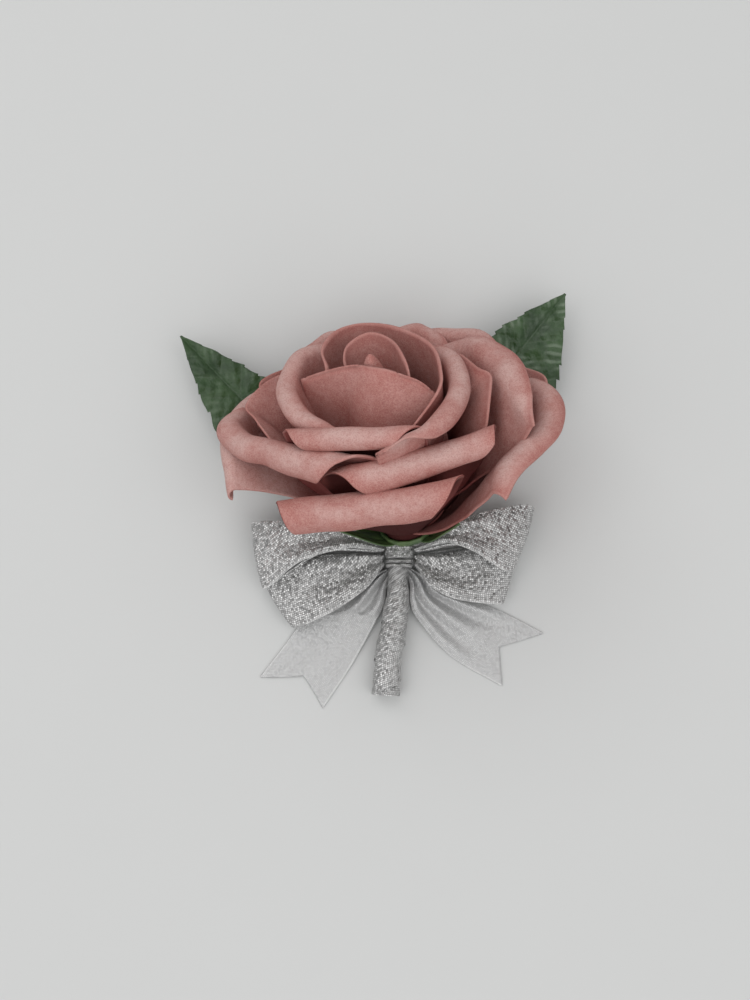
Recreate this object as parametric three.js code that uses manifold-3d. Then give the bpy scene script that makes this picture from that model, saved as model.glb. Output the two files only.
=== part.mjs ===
// A lapel flower lying on its back on a table: a foam rose with its petals in layers, a green
// calyx, two serrated leaves, a wire stem wound with ribbon, and a double-looped ribbon bow.
// Millimetres, +Z up; the table is z = 0 and the stem points towards -Y.

import * as THREE from 'three';
import { mergeVertices } from 'three/addons/utils/BufferGeometryUtils.js';
import Module from 'manifold-3d';

const wasm = await Module();
wasm.setup();

// ---- driving dimensions ---------------------------------------------------------------------

const GAP = 0.3;                 // clearance between pieces that touch
const BED = 400;                 // side of the block that stands for the table
const CENTRE = new THREE.Vector3(-0.4, -0.45, 0);   // middle of the whole thing on the table

// The rose: where its axis starts, how steeply it rises and how far it is turned to the left.
const ROSE = { base: new THREE.Vector3(8, -9.2, 10), rise: 44, turn: 14.3 };
const FOAM = 1.0;                // thickness of the foam sheet
const PETAL_GRID = { across: 8, up: 4, roll: 4 };
const ROOT = { radius: 4.4, height: 4 };        // ring on the core that the petals grow from
const BUD = [                    // radius and height of the foam core, tip last
  [0, 2.5], [4.9, 2.5], [5.4, 5], [5.2, 14], [4.4, 36], [3.0, 45], [1.9, 48.6], [0.8, 50.8], [0, 51.5],
];

// Outlines of the petals. crest: points of the rim, or of the middle of its roll, as angle,
// radius and height round the rose's axis (-90 faces the stem, 90 the table). roll: radius of
// the curled rim from one side to the other; turn: how far it curls; lean: how far the petal
// leans out at the rim; root: angles between which it grows from the core; belly and rise: how
// far it swells and climbs at first; arrive: how long it runs straight into the rim; skew: how
// far the roll is cut aslant, from one end to the other; square: the roll keeps square to its
// rim, and otherwise faces straight out from the axis.
const INNER = { lean: 12, belly: 0.5, rise: 0.14, arrive: 0.5 };
const MIDDLE = { lean: 28, belly: 0.5, rise: 0.12, arrive: 0.45 };
const OUTER = { lean: 38, belly: 0.45, rise: 0.12, arrive: 0.4 };
const BACK_TURN = [40, 150, 180, 180, 150, 50];
const PETALS = [
  { // small petal arched round the bud
    ...INNER, lean: 8, belly: 0.25, root: [115, -15],
    crest: [[140, 7.2, 44], [109, 11.4, 48], [82, 11.9, 49], [49, 9.2, 48.6], [-9, 7.6, 47.7],
      [-42, 9.5, 44.4]],
  },
  { // tall cup that wraps the back and the right of the bud
    ...INNER, lean: 6, belly: 0.4, root: [140, -50],
    crest: [[156, 11.5, 43], [125, 16.5, 47], [105, 19.3, 47.2], [86, 18.9, 47.2], [57, 16, 47],
      [15, 14.6, 47], [-20, 15.2, 46], [-42, 16.6, 45], [-74, 17.6, 41.5]],
  },
  { // shield that closes over the front of the bud
    ...INNER, lean: [0, -38, -10], belly: 1.15, arrive: 0.35, root: [165, 305],
    crest: [[150, 18.2, 43.5], [155, 11, 47], [168, 4.6, 49.2], [255, 3, 50.2], [298, 6, 50],
      [310, 9, 48.7], [317, 12.1, 47], [322, 14.8, 43.5]],
  },
  { // first ring: left
    ...INNER, lean: 15, root: [120, 200], square: 1, roll: [1.8, 2.1, 2.1, 2.1, 1.8, 0.8],
    turn: [60, 190, 215, 215, 215, 200, 120, 0],
    crest: [[108, 22, 41.5], [130, 22.8, 43], [156, 20.8, 42.5], [175, 19.2, 42.5], [194, 17.7, 42],
      [216, 16.4, 41.5], [228, 15.8, 41.2]],
  },
  { // first ring: front
    ...INNER, lean: 15, root: [215, 278], square: 1, skew: [64, 30, 0, -30, -66],
    roll: [1.7, 2.2, 2.25, 2.2, 1.9], turn: [215],
    crest: [[198, 24.2, 41], [213, 20.3, 41.4], [240, 17.5, 42], [268, 18.7, 42.3], [287, 21.8, 42]],
  },
  { // first ring: right, its end slipping under the front petal
    ...INNER, lean: 15, root: [10, -75], roll: [1.4, 2.0, 2.2, 2.2, 2.2, 1.8, 0.8],
    turn: [0, 120, 190, 210, 215, 170, 60, 0],
    crest: [[40, 17.5, 40.5], [25, 17.2, 42], [5, 17.4, 42.5], [-24, 18.6, 42.5], [-46, 20, 42.5],
      [-69, 21.8, 42.3], [-85, 22.4, 41.8], [-101, 22.8, 40.8]],
  },
  { // upright petal with a corner, right
    ...INNER, lean: [20, 52, 52], belly: 0.4, root: [30, -18],
    crest: [[52, 19, 36], [23, 20.5, 41], [-2, 22.6, 41.3], [-9, 24.8, 41], [-18, 24.8, 39.5], [-36, 25, 35]],
  },
  { // upright petal with a corner, left
    ...INNER, lean: 48, belly: 0.4, root: [134, 168],
    crest: [[120, 27, 36], [140, 29.4, 38.5], [156, 31.8, 37.5], [166, 28.5, 37], [182, 25.5, 36]],
  },
  { // second ring: long roll from the left side to the front
    ...MIDDLE, root: [155, 250], square: 1, roll: [2.2, 2.7, 2.7, 2.8, 3.2, 3.5, 2.8],
    turn: [60, 120, 170, 200, 215, 215, 215, 215, 215, 215, 95, 45, 0],
    crest: [[150, 35, 32], [163, 35.6, 34], [176, 31.4, 34.5], [188, 26.6, 35.5], [206, 23.2, 36],
      [234, 21.5, 36.5], [256, 21.5, 36.5]],
  },
  { // second ring: front right
    ...MIDDLE, root: [225, 322], square: 1, skew: [68, 55, 10, 0, -10, -33],
    roll: [2.6, 3.2, 3.3, 3, 2.7, 2.9], turn: [215, 215, 215, 215, 215, 215, 215, 130],
    crest: [[226, 24.4, 33], [239.4, 21.3, 33.6], [255, 20.5, 34], [282.5, 20.4, 34.6], [304, 23.8, 35],
      [320, 29.2, 35.2]],
  },
  { // broad right petal, folded out, with a corner towards the stem
    ...MIDDLE, lean: 26, root: [40, -75], roll: [2, 2.8, 4.0, 4.4, 3.5, 1.5],
    turn: [60, 100, 110, 110, 90, 50],
    crest: [[60, 22, 31], [44, 24.5, 34.6], [28, 27.4, 36.4], [9, 28.6, 36.6], [-10, 30.2, 36],
      [-22, 32.6, 35.2], [-31, 35.6, 34.2]],
  },
  { // outer ring: front, one straight roll
    ...OUTER, lean: 34, root: [215, 290], square: 1, skew: [32, 10, 0, 0, -20, -52],
    roll: [3.6, 3.7, 3.7, 3.6, 3.3, 3], turn: [215],
    crest: [[210.4, 32.5, 27], [221.2, 27.8, 27.3], [239.8, 24.6, 28], [265.6, 24.8, 28.7],
      [284, 27.3, 29.3], [290.4, 29.5, 29.6]],
  },
  { // outer ring: left
    ...OUTER, belly: [0.45, 0.45, 0.45, 0.35], rise: [0.12, 0.12, 0.12, 0.5], root: [140, 190],
    roll: [2, 3, 3, 3, 2.4, 1.4], turn: [90, 150, 170, 170, 190, 160],
    crest: [[120, 34, 27], [135, 35, 29.5], [148, 35.8, 30.5], [160, 35.8, 30.5], [172, 35, 29.6],
      [184, 36.2, 26.8]],
  },
  { // outer ring: right
    ...OUTER, belly: 0.4, rise: 0.15, root: [10, -88], roll: [2, 3, 3, 2.8, 2.4, 2, 1.2],
    turn: [60, 110, 130, 130, 110, 90, 60],
    crest: [[14, 30, 27.5], [4, 33.6, 30], [-6, 36, 30.4], [-17, 34.9, 30], [-31, 32.2, 29.4],
      [-45, 32, 28.4], [-54, 36.2, 26.6]],
  },
  { // pointed petal that shows behind the outer right one
    ...OUTER, belly: 0.4, rise: 0.15, root: [32, 0],
    crest: [[44, 31, 28.5], [30, 33.5, 30], [17, 35.6, 30.8], [7, 38, 31], [-1, 36.8, 30], [-12, 33, 27.5]],
  },
  { // pointed petal that shows behind the upright left one
    ...MIDDLE, lean: 24, root: [118, 144],
    crest: [[108, 30.5, 34], [122, 32.5, 35], [134, 35.6, 34.5], [142, 33, 33.5], [155, 31, 31]],
  },
  { // back of the second ring, right
    ...MIDDLE, lean: 20, root: [80, 52], roll: [2], turn: BACK_TURN,
    crest: [[88, 27, 33], [76, 27.6, 36], [64, 29, 37.2], [57, 28.2, 36.6], [42, 27, 34]],
  },
  { // back of the second ring, left
    ...MIDDLE, lean: 18, root: [128, 98], roll: [1.5], turn: BACK_TURN,
    crest: [[140, 26, 36], [124, 27.5, 39], [112, 28.3, 39.3], [101, 29.5, 39], [86, 28, 36.5]],
  },
  { // back of the third ring, right
    ...MIDDLE, root: [62, 36], roll: [2.2], turn: BACK_TURN,
    crest: [[74, 28, 32], [60, 29.6, 34.5], [48, 31, 35], [36, 33, 34.8], [24, 32.2, 32.5]],
  },
  { // back of the third ring, left
    ...MIDDLE, lean: 32, rise: 0.08, root: [134, 96], roll: [2], turn: BACK_TURN,
    crest: [[150, 30, 28], [134, 31, 31], [116, 31.5, 32.5], [98, 32, 32.5], [80, 31, 30.5]],
  },
  { // lowest petal, which the rose lies on
    ...OUTER, lean: 42, belly: 0.5, rise: 0.08, root: [100, 56], roll: [2.3], turn: BACK_TURN,
    crest: [[118, 33.5, 23.5], [98, 37.5, 25.6], [78, 38.6, 26.6], [58, 38.2, 27], [38, 36, 25.5]],
  },
];

// The calyx: a cup on the rose's axis and five pointed sepals that lie under the petals, each
// with its angle round the axis and the radius and height along its middle.
const CUP = { outer: [[1.15, -1.5], [2.2, -1.5], [4.6, 0.2], [6.6, 2.6]], wall: 0.9, inset: 0.2 };
const SEPAL = { thickness: 0.8, halfWidth: 2.9, trough: 0.12, steps: 6 };
const SEPALS = [
  { angle: -160, path: [[3.4, 0.2], [7.4, 2.4], [11.6, 6], [15.6, 10], [19.5, 14.2]] },
  { angle: -44, path: [[3.4, 0.2], [7.8, 2.3], [11.2, 4.8], [13.6, 6.7], [15.4, 8.4]] },
  { angle: 16, path: [[3.4, 0.2], [8.4, 1.9], [13, 4.7], [17, 8.4], [20, 12.4]] },
  { angle: 88, path: [[3.4, 0.2], [6.4, 0.5], [9.4, 0.9], [12.4, 1.5], [15, 2.2]] },
  { angle: 160, path: [[3.4, 0.2], [8.4, 1.9], [13, 4.7], [17, 8.4], [20, 12.4]] },
];

// The stem: its route from inside the rose to the cut end, the wire and the ribbon round it.
const INSIDE = [7, 2, -1.8];     // heights on the rose's axis that the wire passes
const STEM = [
  [6.9, -11.6, 7.1], [5.9, -13, 5.9], [5.6, -14.8, 5.4], [5.45, -17, 5.0], [5.4, -22, 4.6],
  [5.0, -27.1, 4.1], [4.3, -31.4, 3.8], [3.1, -38.4, 3.5], [2.6, -46.6, 3.3],
];
const WIRE = 0.8;
const WRAP = {
  bore: 1.1, start: [7.5, -11.2, 7.7],
  radii: [1.35, 1.7, 1.95, 2.0, 2.1, 2.35, 2.3, 2.65, 3.1, 3.0, 3.3, 3.2, 3.3],
};
const SHANK = { depth: 8, below: -2 };      // blind hole for the wire in the core of the rose
const ROUND = { wire: 8, wrap: 12, core: 12, cup: 15, corner: 5 };   // sides of round things

// The bow. Every edge is a route of points: knot, out along the top layer, round the fold and
// back along the bottom layer. far is the edge towards the rose, near the one towards the stem.
const RIBBON = 0.7;
const KNOT = { x: [2.4, 9.0], y: [-16.6, -11.5], z: [1.4, 9.4], corner: 2.2 };
const LOOPS = {
  bow_loop_upper_left: {
    far: [[1.9, -11.5, 8], [-6, -7.4, 8.9], [-17, -6.2, 10], [-26.4, -6, 8.8], [-29.2, -6.2, 6.4],
      [-26.2, -6.6, 4.2], [-14, -7.6, 3.8], [1.9, -11.6, 6.4]],
    near: [[1.9, -12.9, 8.2], [-6, -12.4, 10.8], [-17, -15.4, 11.8], [-23.6, -20.6, 11], [-26.2, -21.9, 9.3],
      [-23.4, -21, 8.2], [-12, -14.6, 8.2], [1.9, -12.9, 6.8]],
  },
  bow_loop_lower_left: {
    far: [[1.9, -13.6, 5.8], [-10, -13.6, 5.4], [-19, -14.6, 5.4], [-25, -16.8, 5], [-27.2, -18, 3.8],
      [-24.8, -17.6, 2.7], [-12, -14.4, 2.6], [1.9, -13.6, 4.2]],
    near: [[1.9, -16.3, 6], [-2.1, -21.6, 7.4], [-9.7, -26.8, 6.6], [-17, -30.2, 5.4], [-19.6, -30.6, 4.1],
      [-16.8, -29.6, 2.9], [-8, -25, 3], [1.9, -16.3, 4]],
  },
  bow_loop_upper_right: {
    far: [[9.5, -11.5, 8], [15, -8, 9.4], [22, -5, 10.6], [33.6, -2.2, 9], [37.6, -2.6, 7],
      [34.2, -3.4, 5.2], [22, -6.4, 4.4], [9.5, -11.6, 6.4]],
    near: [[9.5, -12.9, 8.2], [16.5, -11.2, 11.2], [23, -13.2, 11.8], [29.4, -17.2, 11], [32.2, -17.8, 9.4],
      [29.2, -16.6, 8], [20, -12.4, 8], [9.5, -12.9, 6.8]],
  },
  bow_loop_lower_right: {
    far: [[9.6, -13.6, 5.8], [17, -13.4, 5.6], [24, -12, 5.2], [31.4, -9.8, 4.6], [34, -9.4, 3.5],
      [31, -9.6, 2.4], [20, -11.8, 2.4], [9.6, -13.6, 4.2]],
    near: [[9.6, -16.3, 6], [12.9, -20.8, 7.4], [18.5, -23.9, 6.6], [27.5, -25.2, 5.4], [30.4, -25, 4.1],
      [27.2, -24.4, 2.9], [17.5, -22.4, 3], [9.6, -16.3, 4]],
  },
};
const TAILS = {
  bow_tail_left: {
    far: [[2.6, -17.1, 1.9], [-2.6, -19.8, 1.2], [-9.6, -23.8, 0.9], [-17, -29.2, 0.6], [-22, -35.6, 0.4],
      [-27.3, -42.4, 0.36]],
    near: [[5.0, -17.1, 1.9], [2.8, -20.6, 2.6], [2.1, -25, 2.2], [0.0, -29.4, 1.4], [-5.7, -39.6, 0.5],
      [-12.4, -49.7, 0.36]],
  },
  bow_tail_right: {
    far: [[8.8, -17.1, 1.9], [11.6, -18.8, 1.3], [15, -21.6, 0.9], [20, -23.6, 0.7], [29, -26.4, 0.5],
      [40.1, -32, 0.36]],
    near: [[6.6, -17.1, 1.9], [8.3, -20.4, 3.2], [8.4, -24.5, 3.4], [10.2, -28.6, 2.0], [18.1, -37.4, 0.6],
      [30.2, -44.5, 0.36]],
  },
};
const NOTCH = 3.4;               // depth of the V cut in the end of each tail
const TAIL_LENGTH = 36;
const LOOP_GRID = { rows: 21, columns: 4, crown: 0.5 };
const TAIL_GRID = { rows: 14, columns: 4, crown: 0.2 };

// The leaves: middle rib from the stem to the tip, blade and serrations. blade: share of the rib
// where the blade starts; half: width of the left and the right half; fold: their upward slope.
const LEAF = {
  thickness: 0.7, teeth: 11, tooth: 0.09, widest: 0.5, droop: 0.022, columns: 3, stalk: 0.6,
};
const LEAVES = {
  leaf_left: {
    rib: [[4.2, -10.85, 5.4], [0, -5.6, 3.2], [-8, 1.6, 1.7], [-18, 11.5, 2.8], [-31.5, 23.3, 6],
      [-46.2, 38.3, 8.6]],
    blade: 0.36, half: [11.2, 9.0], fold: [14, 14],
  },
  leaf_right: {
    rib: [[8.4, -10.85, 5.0], [11, -6, 2.6], [14, 4, 1.2], [22, 18, 2.4], [33.3, 33.3, 6.6],
      [45.3, 48.5, 8.8]],
    blade: 0.4, half: [9.6, 14.2], fold: [20, 10],
  },
};

// Colour, roughness and metalness of each material.
const FINISH = {
  foam: [0xb47c74, 0.85, 0], calyx: [0x4d6b3c, 0.5, 0], leaf: [0x3f5e41, 0.4, 0],
  wire: [0x4f6a3e, 0.6, 0], glitter: [0xb9b9bb, 0.35, 0.6], satin: [0xc4c4c6, 0.3, 0.2],
};

// ---- shapes ---------------------------------------------------------------------------------

const radians = THREE.MathUtils.degToRad;

// A value between list entries that are spread evenly over 0..1; a single number stays as it is.
function along(list, share) {
  if (typeof list === 'number') return list;
  const place = share * (list.length - 1);
  const low = Math.min(Math.floor(place), list.length - 1);
  const high = Math.min(low + 1, list.length - 1);
  return THREE.MathUtils.lerp(list[low], list[high], place - low);
}

// An even Catmull-Rom curve through points, its ends continued by reflection.
function route(points) {
  const first = points[0].clone().multiplyScalar(2).sub(points[1]);
  const last = points.at(-1).clone().multiplyScalar(2).sub(points.at(-2));
  const all = [first, ...points, last];
  const spans = points.length - 1;
  return (share) => {
    const place = Math.min(share * spans, spans - 1e-9);
    const low = Math.floor(place);
    const t = place - low;
    const [a, b, c, d] = all.slice(low, low + 4);
    const term = (k) => {
      const square = 2 * a[k] - 5 * b[k] + 4 * c[k] - d[k];
      const cube = 3 * b[k] - a[k] - 3 * c[k] + d[k];
      return 0.5 * (2 * b[k] + (c[k] - a[k]) * t + square * t * t + cube * t * t * t);
    };
    return new THREE.Vector3(term('x'), term('y'), term('z'));
  };
}

const vectors = (list) => list.map(([x, y, z]) => new THREE.Vector3(x, y, z));

// A closed sheet of even thickness about a grid of points, with both faces split alike.
function sheet(grid, thickness) {
  const rows = grid.length;
  const columns = grid[0].length;
  const normal = (i, j) => {
    const down = grid[Math.min(i + 1, rows - 1)][j].clone().sub(grid[Math.max(i - 1, 0)][j]);
    const over = grid[i][Math.min(j + 1, columns - 1)].clone().sub(grid[i][Math.max(j - 1, 0)]);
    return down.cross(over).normalize();
  };
  const positions = [];
  for (const side of [0.5, -0.5]) {
    for (let i = 0; i < rows; i += 1) {
      for (let j = 0; j < columns; j += 1) {
        positions.push(...grid[i][j].clone().addScaledVector(normal(i, j), side * thickness).toArray());
      }
    }
  }
  const index = [];
  const under = rows * columns;
  const at = (i, j) => i * columns + j;
  for (let i = 0; i < rows - 1; i += 1) {
    for (let j = 0; j < columns - 1; j += 1) {
      const [a, b, c, d] = [at(i, j), at(i + 1, j), at(i + 1, j + 1), at(i, j + 1)];
      index.push(a, b, c, a, c, d);
      index.push(under + a, under + c, under + b, under + a, under + d, under + c);
    }
  }
  const rim = [];
  for (let i = 0; i < rows - 1; i += 1) rim.push([at(i, 0), at(i + 1, 0)]);
  for (let j = 0; j < columns - 1; j += 1) rim.push([at(rows - 1, j), at(rows - 1, j + 1)]);
  for (let i = rows - 1; i > 0; i -= 1) rim.push([at(i, columns - 1), at(i - 1, columns - 1)]);
  for (let j = columns - 1; j > 0; j -= 1) rim.push([at(0, j), at(0, j - 1)]);
  for (const [a, b] of rim) index.push(a, under + a, under + b, a, under + b, b);
  return indexed(positions, index);
}

function indexed(positions, index) {
  const geometry = new THREE.BufferGeometry();
  geometry.setAttribute('position', new THREE.Float32BufferAttribute(positions, 3));
  geometry.setIndex(index);
  return geometry;
}

// A closed tube round a route, its radius read along it; sections stay square to the route.
function tube(centre, radii, steps, sides) {
  const positions = [];
  const index = [];
  const up = new THREE.Vector3(0, 0, 1);
  for (let i = 0; i <= steps; i += 1) {
    const share = i / steps;
    const point = centre(share);
    const ahead = centre(Math.min(share + 0.01, 1)).sub(centre(Math.max(share - 0.01, 0))).normalize();
    const right = ahead.clone().cross(up).normalize();
    const top = right.clone().cross(ahead);
    for (let j = 0; j < sides; j += 1) {
      const angle = (2 * Math.PI * j) / sides;
      const radius = along(radii, share);
      const place = point.clone().addScaledVector(right, radius * Math.cos(angle));
      positions.push(...place.addScaledVector(top, radius * Math.sin(angle)).toArray());
    }
  }
  const ends = [positions.length / 3, positions.length / 3 + 1];
  positions.push(...centre(0).toArray(), ...centre(1).toArray());
  for (let j = 0; j < sides; j += 1) {
    const next = (j + 1) % sides;
    for (let i = 0; i < steps; i += 1) {
      const [a, b, c, d] = [i * sides + j, i * sides + next, (i + 1) * sides + next, (i + 1) * sides + j];
      index.push(a, c, b, a, d, c);
    }
    index.push(ends[0], j, next, ends[1], steps * sides + next, steps * sides + j);
  }
  return indexed(positions, index);
}

// ---- joining and cutting --------------------------------------------------------------------

function solid(geometry) {
  const bare = geometry.clone();
  bare.deleteAttribute('normal');
  bare.deleteAttribute('uv');
  const merged = mergeVertices(bare, 1e-5);
  const vertProperties = merged.attributes.position.array;
  const triVerts = new Uint32Array(merged.index.array);
  return new wasm.Manifold(new wasm.Mesh({ numProp: 3, vertProperties, triVerts }));
}

// The largest piece of a solid, so that sealed hollows are filled and loose scraps dropped.
function largest(body) {
  return body.decompose().reduce((best, piece) => (piece.volume() > best.volume() ? piece : best));
}

function geometryOf(body) {
  const mesh = body.getMesh();
  const positions = [];
  for (let v = 0; v < mesh.numVert; v += 1) {
    const start = v * mesh.numProp;
    positions.push(...mesh.vertProperties.slice(start, start + 3));
  }
  return indexed(positions, Array.from(mesh.triVerts));
}

function joined(geometries) {
  return geometries.map(solid).reduce((sum, next) => sum.add(next));
}

// The part of a body above the table.
function onTable(body) {
  const block = new THREE.BoxGeometry(BED, BED, BED).translate(0, 0, -BED / 2);
  return body.subtract(solid(block));
}

// ---- the rose -------------------------------------------------------------------------------

// Frame of the rose: x to the right, z along its axis.
function roseFrame() {
  const rise = radians(ROSE.rise);
  const turn = radians(ROSE.turn);
  const level = Math.cos(rise);
  const axis = new THREE.Vector3(-Math.sin(turn) * level, Math.cos(turn) * level, Math.sin(rise));
  const right = new THREE.Vector3(Math.cos(turn), Math.sin(turn), 0);
  return new THREE.Matrix4().makeBasis(right, axis.clone().cross(right), axis).setPosition(ROSE.base);
}

const roseMatrix = roseFrame();

const round = (angle, radius, height) => new THREE.Vector3(
  radius * Math.cos(radians(angle)), radius * Math.sin(radians(angle)), height,
);

// One petal: from its root it swells out, runs up into the rim and curls over it.
function petal(shape) {
  const crest = route(shape.crest.map((point) => round(...point)));
  const axis = new THREE.Vector3(0, 0, 1);
  const grid = [];
  for (let i = 0; i < PETAL_GRID.across; i += 1) {
    const share = i / (PETAL_GRID.across - 1);
    const middle = crest(share);
    const sideways = crest(Math.min(share + 0.02, 1)).sub(crest(Math.max(share - 0.02, 0))).normalize();
    const outward = new THREE.Vector3(middle.x, middle.y, 0).normalize();
    if (shape.square) {
      const square = new THREE.Vector3(sideways.y, -sideways.x, 0).normalize();
      outward.copy(square.multiplyScalar(Math.sign(square.dot(outward))));
    }
    const lean = radians(along(shape.lean, share));
    const roll = shape.roll ? along(shape.roll, share) : 0;
    const turn = shape.turn ? radians(along(shape.turn, share)) : 0;
    const ahead = axis.clone().multiplyScalar(Math.cos(lean)).addScaledVector(outward, Math.sin(lean));
    const away = outward.clone().multiplyScalar(Math.cos(lean)).addScaledVector(axis, -Math.sin(lean));
    const rim = middle.clone().addScaledVector(away, -roll);
    const root = round(along(shape.root, share), ROOT.radius, ROOT.height);
    const climb = rim.z - ROOT.height;
    const swell = Math.max(rim.dot(outward) - ROOT.radius, 4);
    const low = root.clone().addScaledVector(outward, along(shape.belly, share) * swell);
    low.addScaledVector(axis, along(shape.rise, share) * climb);
    const high = rim.clone().addScaledVector(ahead, -shape.arrive * climb);
    const curve = new THREE.CubicBezierCurve3(root, low, high, rim);
    const line = curve.getPoints(PETAL_GRID.up);
    const slant = shape.skew ? Math.tan(radians(along(shape.skew, share))) : 0;
    for (let j = 1; shape.roll && j <= PETAL_GRID.roll; j += 1) {
      const angle = (turn * j) / PETAL_GRID.roll;
      const point = middle.clone().addScaledVector(ahead, roll * Math.sin(angle));
      point.addScaledVector(away, -roll * Math.cos(angle));
      point.addScaledVector(sideways, (slant * roll * angle) / 2);
      line.push(point);
    }
    grid.push(line);
  }
  return sheet(grid, FOAM);
}

function makeBloom() {
  const profile = BUD.map(([radius, height]) => new THREE.Vector2(radius, height));
  const core = new THREE.LatheGeometry(profile, ROUND.core).rotateX(Math.PI / 2);
  const length = SHANK.depth - SHANK.below;
  const hole = new THREE.CylinderGeometry(WIRE + GAP, WIRE + GAP, length, ROUND.wire).rotateX(Math.PI / 2);
  hole.translate(0, 0, SHANK.below + length / 2);
  const body = joined([core, ...PETALS.map(petal)]).subtract(solid(hole)).transform(roseMatrix.elements);
  return geometryOf(largest(onTable(body)));
}

// ---- the calyx ------------------------------------------------------------------------------

// A turned cup: its outer profile from the bore to the rim, then back down the inside.
function makeCup() {
  const outer = CUP.outer.map(([radius, height]) => new THREE.Vector2(radius, height));
  const step = new THREE.Vector2(-CUP.inset, CUP.wall);
  const inner = outer.slice(1).reverse().map((point) => point.clone().add(step));
  inner[inner.length - 1].x = outer[0].x;
  const profile = [...outer, ...inner, outer[0]];
  return new THREE.LatheGeometry(profile, ROUND.cup).rotateX(Math.PI / 2);
}

// Half the width of a sepal at a share of its length: widest low down, then down to a point.
function sepalWidth(share) {
  const flare = 0.5 + 0.5 * Math.sin(Math.PI * Math.min(share * 1.6, 1));
  return SEPAL.halfWidth * flare * (1 - share ** 3) + 0.25;
}

function makeSepal({ angle, path }) {
  const turn = new THREE.Matrix4().makeRotationZ(radians(angle));
  const middle = route(path.map(([radius, height]) => new THREE.Vector3(radius, 0, height)));
  const grid = [];
  for (let i = 0; i <= SEPAL.steps; i += 1) {
    const point = middle(i / SEPAL.steps);
    const half = sepalWidth(i / SEPAL.steps);
    const row = [-1, 0, 1].map((side) => {
      const height = point.z + SEPAL.trough * half * Math.abs(side);
      return new THREE.Vector3(point.x, side * half, height).applyMatrix4(turn);
    });
    grid.push(row);
  }
  return sheet(grid, SEPAL.thickness);
}

function makeCalyx() {
  const body = joined([makeCup(), ...SEPALS.map(makeSepal)]).transform(roseMatrix.elements);
  return geometryOf(largest(onTable(body)));
}

// ---- the stem -------------------------------------------------------------------------------

const onAxis = (height) => new THREE.Vector3(0, 0, height).applyMatrix4(roseMatrix);
const lastTwo = vectors(STEM.slice(-2));
const beyond = lastTwo[1].clone().multiplyScalar(2).sub(lastTwo[0]);
const wireRoute = route([...INSIDE.map(onAxis), ...vectors(STEM)]);
const boreRoute = route([...INSIDE.map(onAxis), ...vectors(STEM), beyond]);
const wrapRoute = route(vectors([WRAP.start, ...STEM]));
const ahead = vectors([STEM[0], WRAP.start]);
const roomRoute = route([ahead[1].clone().lerp(ahead[0], -0.6), ...vectors(STEM)]);

// The wire runs from a blind hole in the rose's core to just short of the cut end of the wrap.
function makeWire() {
  return tube((share) => wireRoute(share * 0.98), WIRE, 30, ROUND.wire);
}

function makeWrap() {
  const outside = solid(tube(wrapRoute, WRAP.radii, 30, ROUND.wrap));
  return geometryOf(outside.subtract(solid(tube(boreRoute, WRAP.bore, 36, ROUND.wire))));
}

// ---- the bow --------------------------------------------------------------------------------

function makeKnot() {
  const { x, y, z, corner } = KNOT;
  const outline = new THREE.Shape();
  outline.moveTo(x[0] + corner, z[0]);
  outline.lineTo(x[1] - corner, z[0]);
  outline.absarc(x[1] - corner, z[0] + corner, corner, -Math.PI / 2, 0);
  outline.absarc(x[1] - corner, z[1] - corner, corner, 0, Math.PI / 2);
  outline.absarc(x[0] + corner, z[1] - corner, corner, Math.PI / 2, Math.PI);
  outline.absarc(x[0] + corner, z[0] + corner, corner, Math.PI, 1.5 * Math.PI);
  const options = { depth: y[1] - y[0], bevelEnabled: false, curveSegments: ROUND.corner };
  const band = new THREE.ExtrudeGeometry(outline, options).rotateX(Math.PI / 2).translate(0, y[1], 0);
  const room = WRAP.radii.map((radius) => radius + GAP);
  const holes = joined([tube(roomRoute, room, 30, ROUND.wrap), tube(boreRoute, WRAP.bore, 36, ROUND.wire)]);
  return geometryOf(largest(solid(band).subtract(holes)));
}

// A strip of ribbon between two edge routes, crowned across and cut in a V at its end if asked.
function strip(edges, { rows, columns, crown }, notch = 0) {
  const far = route(vectors(edges.far));
  const near = route(vectors(edges.near));
  const square = (share) => {
    const ahead = near(Math.min(share + 0.02, 1)).sub(near(Math.max(share - 0.02, 0)));
    return far(share).sub(near(share)).cross(ahead).normalize();
  };
  const lift = crown * Math.sign(square(0.2).z);
  const grid = [];
  for (let i = 0; i <= rows; i += 1) {
    const row = [];
    for (let j = 0; j <= columns; j += 1) {
      const across = j / columns;
      const cut = 1 - (notch / TAIL_LENGTH) * (1 - Math.abs(2 * across - 1));
      const share = (i / rows) * cut;
      const bulge = lift * 4 * across * (1 - across);
      row.push(near(share).lerp(far(share), across).addScaledVector(square(share), bulge));
    }
    grid.push(row);
  }
  return sheet(grid, RIBBON);
}

// ---- the leaves -----------------------------------------------------------------------------

// Half the width of a blade at a share of its length, from the stalk (0) to the tip (1).
function bladeWidth(share) {
  const rise = Math.sin((Math.PI / 2) * Math.min(share / LEAF.widest, 1)) ** 0.8;
  const fall = Math.sin((Math.PI / 2) * Math.min((1 - share) / (1 - LEAF.widest), 1));
  const saw = (share * LEAF.teeth) % 1;
  return Math.min(rise, fall) * (1 + LEAF.tooth * (0.5 - saw));
}

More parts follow.
